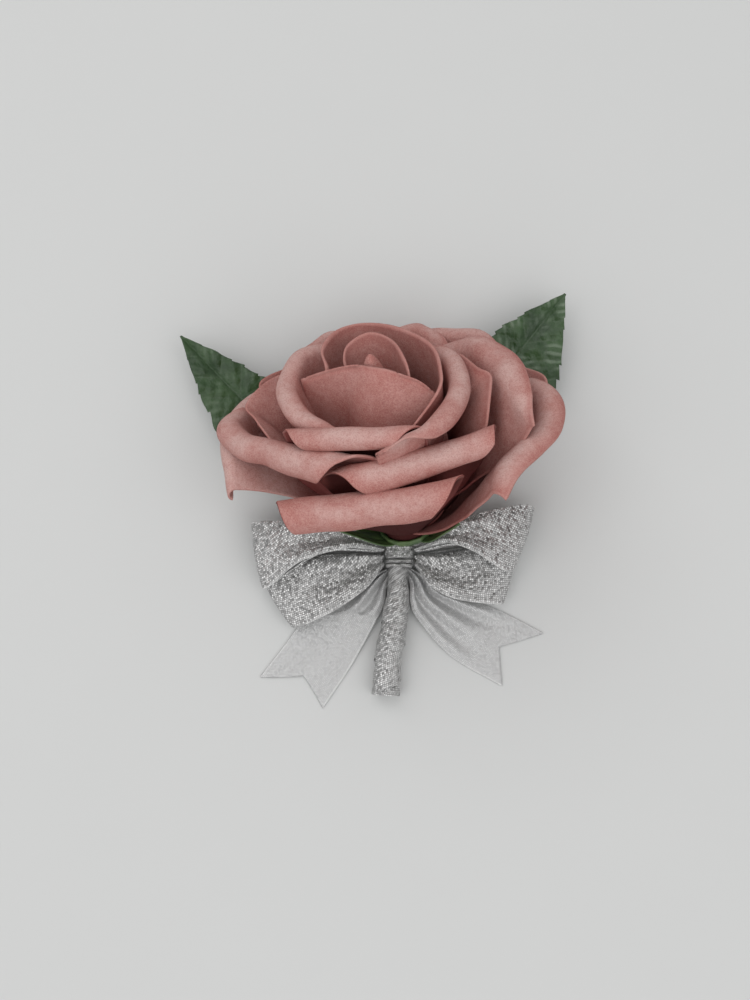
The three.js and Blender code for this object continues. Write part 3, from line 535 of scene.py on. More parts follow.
def tube(name, centres, radii, sides, material):
    """A round rod with closed ends through centres in mm."""
    _, right, top = sides_of(centres)
    angle = np.linspace(0, 2 * np.pi, sides, endpoint=False)[None, :, None]
    ring = np.cos(angle) * right[:, None] + np.sin(angle) * top[:, None]
    points = centres[:, None] + ring * radii[:, None, None]
    at = np.arange(len(centres) * sides).reshape(len(centres), sides)
    beside = np.roll(at, -1, axis=1)
    walls = np.stack((at[:-1], beside[:-1], beside[1:], at[1:]), axis=-1).reshape(-1, 4)
    faces = walls.tolist() + [at[0, ::-1].tolist(), at[-1].tolist()]
    return new_object(name, points.reshape(-1, 3), faces, [material])


def settle(piece, node):
    """Put a piece on the body in place of a node, which it hides."""
    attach(piece, "root")
    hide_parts(node)


# ---- finishes ----


class Shader:
    """A material's node tree, built one node at a time; inputs may be values or sockets."""

    def __init__(self, name):
        self.material = bpy.data.materials.new(name)
        self.material.use_nodes = True
        self.tree = self.material.node_tree
        self.surface = self.tree.nodes["Principled BSDF"]

    def add(self, kind, inputs=None, output=0, **settings):
        """A new node with its inputs set; gives one of its outputs."""
        node = self.tree.nodes.new(kind)
        for key, value in settings.items():
            setattr(node, key, value)
        for key, value in (inputs or {}).items():
            self.put(node.inputs[key], value)
        return node.outputs[output]

    def put(self, socket, value):
        """Link a socket to an input, or set the input to a number or a colour."""
        if isinstance(value, bpy.types.NodeSocket):
            self.tree.links.new(value, socket)
        elif socket.type == "RGBA":
            socket.default_value = (*value, 1.0)
        else:
            socket.default_value = value

    def set(self, **values):
        """Set inputs of the surface, named with _ for a space."""
        for key, value in values.items():
            self.put(self.surface.inputs[key.replace("_", " ")], value)

    def sum(self, kind, *terms):
        """A sum of the given kind with numbers."""
        return self.add("ShaderNodeMath", dict(enumerate(terms)), operation=kind)

    def vector(self, kind, *terms, scale=None):
        """A sum of the given kind with vectors."""
        inputs = dict(enumerate(terms))
        if scale is not None:
            inputs["Scale"] = scale
        return self.add("ShaderNodeVectorMath", inputs, operation=kind)

    def mix(self, share, first, second):
        """The first colour where the share is 0, the second where it is 1."""
        node = self.tree.nodes.new("ShaderNodeMix")
        node.data_type = "RGBA"
        share_in, first_in, second_in, colour_out = 0, 6, 7, 2
        self.put(node.inputs[share_in], share)
        self.put(node.inputs[first_in], first)
        self.put(node.inputs[second_in], second)
        return node.outputs[colour_out]

    def ramp(self, value, low, high, first=0.0, last=1.0):
        """first where the value is at low, last where it is at high, and even between them."""
        return self.add("ShaderNodeMapRange", {0: value, 1: low, 2: high, 3: first, 4: last}, clamp=True)

    def value(self, name):
        """A number that the mesh holds for each of its points."""
        return self.add("ShaderNodeAttribute", output=2, attribute_name=name)

    def noise(self, scale, detail=4, rough=0.55):
        """Cloudy noise fixed to the piece."""
        place = self.add("ShaderNodeTexCoord", output=3)
        inputs = {"Vector": place, "Scale": scale, "Detail": detail, "Roughness": rough}
        return self.add("ShaderNodeTexNoise", inputs)

    def bump(self, height, strength, distance, normal=None):
        """A normal bent by a height, on top of another normal if one is given."""
        inputs = {"Height": height, "Strength": strength, "Distance": distance}
        if normal is not None:
            inputs["Normal"] = normal
        return self.add("ShaderNodeBump", inputs)

    def specular(self, level):
        """Set how strongly the surface mirrors."""
        self.surface.inputs["Specular IOR Level"].default_value = level


def foam_finish(rose):
    """Matt craft foam: mottled and speckled pink, with painted shade low down and a painted highlight on
    the rolls.
    """
    shade = Shader("dusty_pink_foam")
    depth, rim, crest = shade.value("depth"), shade.value("rim"), shade.value("crest")
    cloud = shade.noise(120, 3)
    mottle = shade.noise(700, 5, 0.7)
    grain = shade.noise(3300, 3, 0.75)
    painted_highlight = shade.sum("MULTIPLY", crest, shade.ramp(cloud, 0.62, 0.4, 0.35, 1.0))
    body = shade.mix(shade.ramp(cloud, 0.35, 0.65), rose.foam_colour, rose.blush_colour)
    layers = (
        (shade.sum("MULTIPLY", painted_highlight, 0.95), rose.painted_highlight_colour),  # painted highlight on the tops of the rolls, and all over a pale petal
        (shade.ramp(mottle, 0.46, 0.7, 0.0, 0.26), rose.pale_colour),  # pale mottling
        (shade.ramp(mottle, 0.52, 0.3, 0.0, 0.4), rose.blush_colour),  # redder mottling
        (shade.ramp(grain, 0.5, 0.68, 0.0, 0.4), rose.pale_colour),  # pale specks
        (shade.ramp(grain, 0.5, 0.32, 0.0, 0.36), rose.shade_and_speck_colour),  # dark specks
        (shade.ramp(depth, 0.6, 0.05, 0.0, 0.85), rose.shade_and_speck_colour),  # painted shade low down between the petals
        (shade.ramp(depth, 0.05, -0.45, 0.0, 0.8), rose.painted_shadow_colour),  # painted shadow under the rolls and at the roots
        (shade.ramp(rim, 0.0, 0.7, 0.0, 0.3), rose.edge_colour),  # band along the edge
        (shade.ramp(rim, 0.8, 1.0, 0.0, 0.18), rose.pale_colour),  # the cut edge itself
    )
    for share, tint in layers:
        body = shade.mix(share, body, tint)
    soft = shade.bump(mottle, 0.35, 0.0003)
    shade.set(Base_Color=body, Roughness=0.9, Normal=shade.bump(grain, 0.6, 0.00015, soft))
    shade.specular(0.12)
    return shade.material


def weave(shade, pitch):
    """A woven cloth on its flat pattern: a cell's random value and colour, thread height, pattern.

    The pattern is in mm, it wanders a little, and each row of cells is shifted against the last.
    """
    flat = shade.add("ShaderNodeUVMap", uv_map="flat")
    drift = shade.add("ShaderNodeTexNoise", {"Vector": flat, "Scale": 0.35, "Detail": 2.0}, output=1)
    flat = shade.vector("ADD", flat, shade.vector("SCALE", drift, scale=WEAVE_DRIFT))
    scaled = shade.vector("SCALE", flat, scale=1.0 / pitch)
    parts = shade.add("ShaderNodeSeparateXYZ", {0: scaled}).node
    row = shade.sum("MULTIPLY", shade.sum("FLOOR", parts.outputs[1]), ROW_SHIFT)
    column = shade.sum("ADD", parts.outputs[0], row)
    scaled = shade.add("ShaderNodeCombineXYZ", {0: column, 1: parts.outputs[1]})
    cell = shade.vector("FLOOR", scaled)
    inside = shade.vector("FRACTION", scaled)
    random = shade.add("ShaderNodeTexWhiteNoise", {"Vector": cell}, noise_dimensions="2D")
    tint = random.node.outputs["Color"]
    split = shade.add("ShaderNodeSeparateXYZ", {0: inside}).node
    humps = [shade.sum("SINE", shade.sum("MULTIPLY", split.outputs[axis], math.pi)) for axis in (0, 1)]
    return random, tint, shade.sum("MULTIPLY", *humps), flat


def selvedge_dots(shade, flat, edge, pitch):
    """Row of small loops along a woven edge: where it is pale, from 0 to 1."""
    split = shade.add("ShaderNodeSeparateXYZ", {0: flat}).node
    wave = shade.sum("SINE", shade.sum("MULTIPLY", split.outputs[0], 2 * math.pi / pitch))
    return shade.sum("MULTIPLY", shade.ramp(wave, -0.4, 0.4, 0.25, 1.0), shade.ramp(edge, 0.25, 0.8))


def metal_cloth(name, ribbon, pitch, low, high, contrast, gloss, metal, picot):
    """A ribbon woven with metal threads: each crossing has its own tilt and its own painted glint.

    low and high are its darkest thread and brightest painted glint, gloss how far the threads tilt,
    and picot the spacing in mm of the loops along its edge. low is also its painted shade by the knot.
    """
    shade = Shader(name)
    random, tint, hump, flat = weave(shade, pitch / MM)
    edge = shade.value("edge")
    cloud = shade.noise(170, 3)
    # Painted glints: a random brightness for each crossing, brightest on the hump of its thread
    lit = shade.sum("POWER", shade.ramp(random, 0.0, 0.9, 0.12, 1.0), contrast)
    lit = shade.sum("MULTIPLY", lit, shade.ramp(hump, 0.3, 0.75, 0.05, 1.0))
    body = shade.mix(lit, low, high)
    body = shade.mix(shade.ramp(cloud, 0.35, 0.7, 0.0, 0.18), body, ribbon.thread_colour)
    dots = selvedge_dots(shade, flat, edge, picot)
    body = shade.mix(shade.ramp(edge, 0.2, 0.9, 0.0, 0.55), body, ribbon.thread_colour)
    body = shade.mix(dots, body, ribbon.selvedge_colour)
    # Painted shade near the knot
    body = shade.mix(shade.sum("MULTIPLY", shade.value("painted_shade"), 0.6), body, low)
    tilt = shade.vector("SCALE", shade.vector("SUBTRACT", tint, (0.5, 0.5, 0.5)), scale=gloss)
    bent = shade.vector("ADD", shade.bump(hump, 0.5, 0.00008), tilt)
    shade.set(Base_Color=body, Metallic=metal, Roughness=0.36, Normal=shade.vector("NORMALIZE", bent))
    return shade.material


def glitter_finish(ribbon):
    """The ribbon's glittering side."""
    return metal_cloth(
        "silver_glitter_ribbon", ribbon, ribbon.glitter_pitch, ribbon.shadow_colour,
        ribbon.glitter_colour, contrast=0.9, gloss=1.0, metal=0.4, picot=0.45,
    )


def satin_finish(ribbon):
    """The ribbon's smoother back."""
    return metal_cloth(
        "silver_satin_ribbon", ribbon, ribbon.satin_pitch, ribbon.satin_shadow_colour,
        ribbon.satin_colour, contrast=0.8, gloss=0.4, metal=0.2, picot=0.55,
    )


def leaf_finish(greens):
    """Printed fabric leaf with veins, painted sheen in pale streaks and a crimped gloss."""
    shade = Shader("printed_fabric_leaf")
    cloud = shade.noise(180, 4)
    weft = shade.noise(2600, 3, 0.7)
    body = shade.mix(shade.ramp(cloud, 0.35, 0.65), greens.leaf_colour, greens.leaf_light_colour)
    body = shade.mix(shade.ramp(shade.value("vein"), 0.2, 1.0, 0.0, 0.7), body, greens.vein_colour)
    # Painted sheen in streaks between the veins
    sheen = shade.sum("MULTIPLY", shade.value("streak"), shade.ramp(cloud, 0.3, 0.6, 0.15, 0.65))
    body = shade.mix(sheen, body, greens.painted_sheen_colour)
    gloss = shade.ramp(weft, 0.3, 0.7, 0.28, 0.42)
    crimp = shade.bump(shade.noise(420, 4, 0.6), 0.6, 0.0009)
    shade.set(Base_Color=body, Roughness=gloss, Normal=shade.bump(weft, 0.3, 0.0001, crimp))
    shade.specular(0.4)
    return shade.material


def calyx_finish(greens):
    """Semi-matt green plastic, lighter towards the sepals' tips."""
    shade = Shader("green_calyx_plastic")
    cloud = shade.noise(300, 4)
    fine = shade.noise(2400, 3)
    body = shade.mix(shade.ramp(cloud, 0.35, 0.65), greens.calyx_colour, greens.calyx_dark_colour)
    body = shade.mix(shade.ramp(shade.value("tip"), 0.5, 1.0, 0.0, 0.5), body, greens.leaf_light_colour)
    shade.set(Base_Color=body, Roughness=0.42, Normal=shade.bump(fine, 0.15, 0.0001))
    return shade.material


def wire_finish(greens):
    """The green coat of the stem wire."""
    shade = Shader("green_stem_wire")
    fine = shade.noise(1500, 4)
    body = shade.mix(shade.ramp(fine, 0.3, 0.7), greens.calyx_colour, greens.calyx_dark_colour)
    shade.set(Base_Color=body, Roughness=0.6, Normal=shade.bump(fine, 0.3, 0.0001))
    return shade.material


def tape_finish(greens):
    """The pale tape under the ribbon, which shows at the stem's cut end."""
    shade = Shader("pale_stem_tape")
    fine = shade.noise(1200, 5)
    body = shade.mix(shade.ramp(fine, 0.3, 0.7), greens.tape_dark_colour, greens.tape_colour)
    shade.set(Base_Color=body, Roughness=0.8, Normal=shade.bump(fine, 0.5, 0.0002))
    return shade.material


def floor_finish(stage):
    """A plain pale floor with the faintest cloud in it."""
    shade = Shader("pale_floor")
    fine = shade.noise(40, 3)
    darker = tuple(FLOOR_CLOUD * value for value in stage.floor_colour)
    shade.set(Base_Color=shade.mix(fine, stage.floor_colour, darker), Roughness=0.75)
    shade.specular(0.2)
    return shade.material


# ---- settings ----


def colour(name, description, default):
    """A colour that the user can change."""
    return FloatVectorProperty(
        name=name, description=description, default=default, subtype="COLOR", size=3, min=0.0, max=1.0
    )


def size(name, description, default):
    """A length in metres that the user can change."""
    return FloatProperty(name=name, description=description, default=default, min=0.0, unit="LENGTH")


class RoseSettings(bpy.types.PropertyGroup):
    """Sizes and colours of the foam rose"""

    foam_thickness: size("Foam thickness", "Thickness of the foam sheet of the petals", 0.0006)
    unevenness: size("Unevenness", "Height of the gentle waves in the foam", 0.00018)
    foam_colour: colour("Foam", "Dusty pink of the foam", (0.49, 0.24, 0.214))
    blush_colour: colour("Blush", "Redder patches of the foam", (0.4, 0.158, 0.136))
    # Painted highlight: greyer pink on the tops of the rolls and over a pale petal
    painted_highlight_colour: colour("Worn", "Greyer pink where a roll is rubbed", (0.56, 0.37, 0.34))
    pale_colour: colour("Pale", "Pale specks and cut edges of the foam", (0.6, 0.38, 0.34))
    # Dark specks in the foam, and painted shade low down between the petals
    shade_and_speck_colour: colour("Deep", "Wine red low down between the petals", (0.19, 0.036, 0.034))
    # Painted shadow under the rolled rims and at the petals' roots
    painted_shadow_colour: colour("Hollow", "Near black under the rolled rims", (0.015, 0.004, 0.004))
    edge_colour: colour("Edge", "Redder band along a petal's edge", (0.34, 0.105, 0.09))
    across: IntProperty(name="Petal steps", description="Steps across a petal", default=64, min=8)


class GreenerySettings(bpy.types.PropertyGroup):
    """Sizes and colours of the leaves, the calyx and the tape"""

    leaf_thickness: size("Leaf thickness", "Thickness of the fabric leaves", 0.00045)
    leaf_colour: colour("Leaf", "Dark green of the leaves", (0.019, 0.045, 0.015))
    leaf_light_colour: colour("Leaf light", "Lighter green of the leaves", (0.042, 0.086, 0.031))
    # Painted sheen of the streaks between the veins
    painted_sheen_colour: colour("Streak", "Worn paler threads between the veins", (0.17, 0.22, 0.155))
    vein_colour: colour("Vein", "Colour of the veins", (0.05, 0.085, 0.042))
    calyx_colour: colour("Calyx", "Green of the calyx", (0.1, 0.16, 0.055))
    calyx_dark_colour: colour("Calyx dark", "Darker green of the calyx", (0.05, 0.095, 0.035))
    tape_colour: colour("Tape", "Pale tape round the stem wire", (0.36, 0.38, 0.28))
    tape_dark_colour: colour("Tape dark", "Darker patches of the tape", (0.2, 0.23, 0.15))
    teeth: IntProperty(name="Teeth", description="Teeth along each side of a leaf", default=15, min=3)


class RibbonSettings(bpy.types.PropertyGroup):
    """Sizes and colours of the ribbon"""

    width: size("Ribbon width", "Flat width of the ribbon", 0.0159)
    thickness: size("Ribbon thickness", "Thickness of the ribbon", 0.00035)
    glitter_pitch: size("Glitter pitch", "Spacing of the metal threads", 0.0005)
    satin_pitch: size("Satin pitch", "Spacing of the satin threads", 0.00042)
    lap: size("Lap pitch", "Distance along the stem from one turn of ribbon to the next", 0.0088)
    # The brightest painted glint of the metal threads
    glitter_colour: colour("Glitter", "Bright metal threads", (0.98, 0.98, 0.97))
    thread_colour: colour("Thread", "Middle grey of the ribbon", (0.52, 0.52, 0.52))
    shadow_colour: colour("Shadow thread", "Dark threads between the metal ones", (0.27, 0.267, 0.265))
    selvedge_colour: colour("Selvedge", "Pale woven edge", (0.74, 0.74, 0.73))
    satin_colour: colour("Satin", "Satin back of the ribbon", (0.7, 0.7, 0.695))
    satin_shadow_colour: colour("Satin shadow", "Darker threads of the satin back", (0.4, 0.4, 0.4))


class StageSettings(bpy.types.PropertyGroup):
    """Floor colour and strength of the lights"""

    floor_colour: colour("Floor", "Pale floor", (0.592, 0.597, 0.592))
    key_power: FloatProperty(
        name="Key light", description="Power that the soft lights share", default=3.5, unit="POWER"
    )
    sky: FloatProperty(
        name="Sky", description="Strength of the even light all round", default=0.64, min=0.0
    )


# ---- operators ----


def curled(shape):
    """Whether a petal's rim rolls over, and doesn't only bend."""
    return max(shape["turn"]) > 90


def petal_grid(shape, across):
    """The middle surface of one petal in the rose's frame: rows across, columns root to rim.

    A wall rises from the root arc to the foot of the roll, and the roll goes on from there.
    """
    share = np.linspace(0, 1, across)
    crest = curve([polar(np.float64(angle), *place) for angle, *place in shape["crest"]], share)
    along = unit(np.gradient(crest, axis=0) * (1, 1, 0))
    radial = unit(crest * (1, 1, 0))
    square = np.cross(along, UP)
    square = square * np.sign((square * radial).sum(1, keepdims=True))
    outward = unit(radial + (square - radial) * shape.get("square", 0))
    lean = np.radians(spread(shape["lean"], share))[:, None]
    roll = spread(shape["roll"], share)[:, None]
    ahead = np.cos(lean) * UP + np.sin(lean) * outward
    away = np.cos(lean) * outward - np.sin(lean) * UP
    rim = crest - roll * away
    wall = petal_wall(shape, share, outward, ahead, rim)
    return np.concatenate((wall, petal_roll(shape, share, crest, roll, ahead, away)), axis=1)


def petal_wall(shape, share, outward, ahead, rim):
    """The part of a petal from its root to the foot of its roll, a cubic curve in each row."""
    root = polar(spread(shape["root"], share), ROOT_RADIUS, np.full(len(share), ROOT_HEIGHT))
    climb = rim[:, 2:] - ROOT_HEIGHT
    swell = np.maximum((rim * outward).sum(1, keepdims=True) - ROOT_RADIUS, LEAST_SWELL)
    belly, rise, arrive = (spread(shape[key], share)[:, None] for key in ("belly", "rise", "arrive"))
    low = root + outward * belly * swell + UP * rise * climb
    high = rim - ahead * arrive * climb
    t = np.linspace(0, 1, WALL_STEPS)[None, :, None]
    return (
        (1 - t) ** 3 * root[:, None] + 3 * (1 - t) ** 2 * t * low[:, None]
        + 3 * (1 - t) * t**2 * high[:, None] + t**3 * rim[:, None]
    )


def petal_roll(shape, share, crest, roll, ahead, away):
    """The roll along a petal's rim, which slides along its own middle line where it is skewed."""
    steps = ROLL_STEPS if curled(shape) else LIP_STEPS
    turn = np.radians(spread(shape["turn"], share))[:, None]
    angle = turn * np.linspace(0, 1, steps + 1)[None, 1:]
    slide = np.tan(np.radians(spread(shape.get("skew", 0), share)))[:, None] * roll * angle / 2
    arc = np.append(0, np.cumsum(np.linalg.norm(np.diff(crest, axis=0), axis=1)))
    place = arc[:, None] + slide
    within = np.clip(place, 0, arc[-1])

    def follow(values):
        return np.stack([np.interp(within, arc, column) for column in values.T], axis=-1)

    past_end = (place - within)[..., None]
    centre = follow(crest) + follow(unit(np.gradient(crest, axis=0))) * past_end
    angle = angle[..., None]
    return centre + follow(roll) * (np.sin(angle) * follow(ahead) - np.cos(angle) * follow(away))


def openness(grid, climb):
    """How open a place of the bloom is, for its painted shade: 0 deep between the petals, 1 out at their
    rims.
    """
    radius = np.hypot(grid[..., 0], grid[..., 1])
    dome = DOME_TOP - DOME_FALL * radius**2
    below = (dome - grid[..., 2]) / DOME_DEPTH
    return np.clip(1 - below, 0, 1) * (0.35 + 0.65 * smooth(climb / 0.8))


class FLOWER_OT_bloom(bpy.types.Operator):
    """Make the foam petals in their layers round the bud"""

    bl_idname = "flower.bloom"
    bl_label = "Foam rose"

    def execute(self, context):
        rose = context.scene.flower_rose
        foam = foam_finish(rose)
        for number, (name, shape) in enumerate(PETALS.items()):
            self.petal(name, shape, number, rose, foam)
        self.bud(foam)
        return {"FINISHED"}

    def petal(self, name, shape, seed, rose, foam):
        """One foam petal, gently uneven, with its painted highlight and painted shade."""
        grid = petal_grid(shape, rose.across)
        u, v = lengths(grid)
        waves = ripple(u, v, seed, rose.unevenness / MM) * smooth(v / ROOT_CALM)
        grid = grid + normals_of(grid) * waves[..., None]
        climb = v / v[:, -1:]
        from_rim = v[:, -1:] - v
        from_side = np.minimum(u, u[-1:] - u)
        rim = (1 - smooth(np.minimum(from_rim, from_side) / RIM_BAND)) * smooth((climb - 0.45) / 0.3)
        # Painted highlight along the top of each roll, and painted light all over a pale petal
        roll_top = 0.55 * from_rim[:, WALL_STEPS:WALL_STEPS + 1]
        roll_highlight = np.exp(-(((from_rim - roll_top) / HIGHLIGHT_BAND) ** 2)) * smooth(from_side / 6)
        crest = shape.get("pale", 0) + roll_highlight * curled(shape)
        # Painted shade: darker deep in the bloom, darker still on the outer faces, near black at the
        # roots
        lifted = shape.get("open", 0)
        inner = np.clip(openness(grid, climb) + lifted, 0, 1)
        buried = (1 - smooth(climb / 0.45)) * (1 - lifted / 0.3)
        outer = shape.get("under", UNDERSIDE) * inner - np.maximum(buried, 0)
        probe = (rose.across // 2, WALL_STEPS // 3)
        facing_out = (normals_of(grid)[probe] * grid[probe] * (1, 1, 0)).sum() > 0
        first, second = (outer, inner) if facing_out else (inner, outer)
        piece = shell(
            name, from_rose(grid), rose.foam_thickness / MM, [foam],
            {"rim": rim, "depth": first, "crest": crest}, inside={"depth": second, "rim": 0 * rim},
        )
        settle(piece, "rose_bloom")

    def bud(self, foam):
        """The closed bud in the middle, very slightly twisted."""
        line = profile(BUD, BUD_STEPS)
        angle = np.linspace(0, 360, BUD_ROUND, endpoint=False)
        height_wave = np.sin(np.linspace(0, np.pi, BUD_STEPS))[None]
        twist = BUD_TWIST * np.sin(np.radians(angle) * 3)[:, None] * height_wave
        radius = np.maximum(line[None, :, 0] + twist, 0.001)
        grid = revolve(radius, line[:, 2], angle)
        # Painted shade, dark deep in the bloom and darkest at the bud's base
        depth = openness(grid, np.ones(radius.shape)) - 1 + smooth((grid[..., 2] - 4) / 16)
        plain = np.zeros(depth.size)
        values = {"rim": plain, "depth": depth, "crest": plain}
        faces = grid_faces(*radius.shape, ring=True).tolist()
        bud = new_object("rose_bud", from_rose(grid).reshape(-1, 3), faces, [foam], values=values)
        settle(bud, "rose_bloom")


class FLOWER_OT_calyx(bpy.types.Operator):
    """Make the green cup and the pointed sepals under the bloom"""

    bl_idname = "flower.calyx"
    bl_label = "Calyx"

    def execute(self, context):
        finish = calyx_finish(context.scene.flower_greens)
        self.cup(finish)
        for angle, path in SEPALS.items():
            self.sepal(angle, path, finish)
        return {"FINISHED"}

    def cup(self, finish):
        """The ribbed cup that holds the petals."""
        line = profile(CUP, CUP_STEPS)
        angle = np.linspace(0, 360, CUP_ROUND, endpoint=False)
        growing = np.linspace(0.1, 1, CUP_STEPS)[None]
        ribs = CUP_RIB_HEIGHT * np.cos(np.radians(angle) * CUP_RIBS)[:, None] * growing
        radius = line[None, :, 0] + ribs - 0.4
        grid = revolve(radius, line[:, 2] + 0.35, angle)
        values = {"tip": np.zeros(radius.shape)}
        cup = shell("calyx_cup", from_rose(grid), CUP_THICKNESS, [finish], values, ring=True)
        settle(cup, "calyx")

    def sepal(self, angle, path, finish):
        """One pointed sepal with a ridge along its middle, turned to its angle."""
        share = np.linspace(0, 1, SEPAL_ROWS)
        middle = profile(path, SEPAL_ROWS)
        flare = 0.5 + 0.5 * np.sin(np.pi * np.minimum(share * 1.6, 1))
        half = SEPAL_HALF * flare * (1 - share**3) + SEPAL_TIP
        across = np.linspace(-1, 1, SEPAL_COLUMNS)
        reach = half[:, None] * across[None]
        ridge = -0.3 * np.exp(-((across * 5) ** 2))[None] * (1 - share[:, None])
        height = middle[:, 2:3] + 0.12 * np.abs(reach) + ridge
        grid = np.stack((np.broadcast_to(middle[:, :1], reach.shape), reach, height), axis=-1)
        turn = math.radians(angle)
        cosine, sine = math.cos(turn), math.sin(turn)
        spin = np.array(((cosine, sine, 0), (-sine, cosine, 0), (0, 0, 1)))
        values = {"tip": np.broadcast_to(share[:, None], reach.shape)}
        name = f"calyx_sepal_{angle % 360}"
        thick = 1 - 0.5 * np.abs(across) ** 2
        sepal = shell(name, from_rose(grid @ spin), SEPAL_THICKNESS, [finish], values, thick=thick)
        settle(sepal, "calyx")


class FLOWER_OT_stem(bpy.types.Operator):
    """Make the stem core and the ribbon wound round it"""

    bl_idname = "flower.stem"
    bl_label = "Wound stem"

    def execute(self, context):
        greens = context.scene.flower_greens
        share = np.linspace(0, 1, STEM_STEPS)
        route = curve(STEM, share)
        step = np.append(0, np.cumsum(np.linalg.norm(np.diff(route, axis=0), axis=1)))
        radii = spread(STEM_RADII, share)
        self.winding(route, step, radii, context.scene.flower_ribbon)
        inner = np.maximum(radii - CORE_INSET, 0.5)
        rings = slice(0, STEM_STEPS - CORE_EVERY, CORE_EVERY)
        core = tube("stem_core", route[rings], inner[rings], CORE_SIDES, tape_finish(greens))
        settle(core, "stem_wrap")
        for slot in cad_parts["stem_wire"].material_slots:
            slot.material = wire_finish(greens)
        return {"FINISHED"}

    def winding(self, route, step, radii, ribbon):
        """The ribbon wound up the stem from its cut end, each turn lapping the last."""
        _, right, top = sides_of(route)
        total = step[-1]
        width, lap = ribbon.width / MM, ribbon.lap / MM
        first = -0.6 * width
        turns = (total - first - 1.0) / lap
        angle = np.linspace(0, 2 * np.pi * turns, int(turns * TURN_STEPS))
        lower = first + lap * angle / (2 * np.pi)
        start = np.maximum(lower, 0.0)
        end = np.minimum(lower + width, total)
        place = start[:, None] + (end - start)[:, None] * np.linspace(0, 1, RIBBON_COLUMNS)[None]
        laps = (place - lower[:, None]) / lap
        from_top = total - place
        out = np.interp(from_top, step, radii) - LAP_STEP * np.minimum(laps, width / lap) + 0.05
        out = out + 0.06 * np.sin(place * 1.3 + angle[:, None] * 0.31)
        out = out + 0.04 * np.sin(place * 3.1 + angle[:, None] * 1.7)

        def read(table):
            return np.stack([np.interp(from_top, step, column) for column in table.T], axis=-1)

        around = np.cos(angle)[:, None, None] * read(right) + np.sin(angle)[:, None, None] * read(top)
        grid = read(route) + around * out[..., None]
        glitter, satin = glitter_finish(ribbon), satin_finish(ribbon)
        values = {
            "edge": 0.4 * np.exp(-((laps * lap) ** 2) / 0.3),
            # Painted shade on the stem below the knot
            "painted_shade": 0.8 * np.exp(-np.maximum(KNOT_FRONT - grid[..., 1], 0) / STEM_SHADE),
        }
        wrap = shell("stem_ribbon", grid, WRAP_THICKNESS, [glitter, satin, glitter], values)
        settle(wrap, "stem_wrap")
        flat = float(np.linalg.norm(np.diff(grid, axis=0), axis=-1).mean(1).sum())


def ribbon_grid(edges, rows, crown, pleats, flat, notch=0.0):
    """Middle surface of a strip between its far and near selvedge, pleated where it narrows.

    flat is its flat width and crown how far it bulges, in mm. Each of the two pleats is a number
    of waves, their greatest height and their phase; the first is for the half of a loop that
    shows, the second for the half below. A notched strip is a tail and has no half below.
    """
    share = np.linspace(0, 1, rows)
    across = np.linspace(0, 1, RIBBON_COLUMNS)
    cut = 1 - (notch / TAIL_LENGTH) * (1 - np.abs(2 * across - 1))
    shares = share[:, None] * cut[None]
    far, near = curve(edges[0], shares), curve(edges[1], shares)
    grid = near + (far - near) * across[None, :, None]
    before, after = np.maximum(shares - 0.02, 0), np.minimum(shares + 0.02, 1)
    ahead = curve(edges[1], after) - curve(edges[1], before)
    square = unit(np.cross(far - near, ahead))
    facing = np.sign(square[rows // 5, RIBBON_COLUMNS // 2, 2])
    width = np.linalg.norm(far - near, axis=-1).mean(1)
    spare = np.sqrt(np.maximum(flat**2 - width**2, 0))
    below = np.zeros(rows)
    if not notch:
        # No pleats where a loop turns back, halfway along.
        spare = spare * smooth((np.abs(share - 0.5) - 0.09) / 0.2)
        below = smooth((share - 0.42) / 0.16)
    total = np.zeros((rows, RIBBON_COLUMNS))
    calm = np.minimum(1, 6 * across * (1 - across) + 0.25)
    for (waves, most, phase), weight in zip(pleats, (1 - below, below)):
        deep = most * np.tanh(1.25 * spare / (4 * waves) / most) * weight
        total += deep[:, None] * (np.sin(2 * np.pi * waves * across + phase) * calm)[None]
    bulge = facing * 4 * across * (1 - across) * crown
    return grid + square * (bulge[None] + total * facing)[..., None]


def selvedge(v, band):
    """How close a place of a strip is to its long edges: 0.8 on them, fading over the band."""
    side = np.minimum(v, v[:, -1:] - v)
    return 0.8 * np.exp(-((side / band) ** 2))


def painted_shade_near_knot(grid):
    """How close the ribbon is to the knot, for its painted shade: 1 at the knot, 0 far out."""
    beside = np.abs(grid[..., 0] - (KNOT_X[0] + KNOT_X[1]) / 2) - (KNOT_X[1] - KNOT_X[0]) / 2
    below = KNOT_FRONT - grid[..., 1]
    return np.exp(-np.maximum(np.maximum(beside, below), 0) / BOW_SHADE)


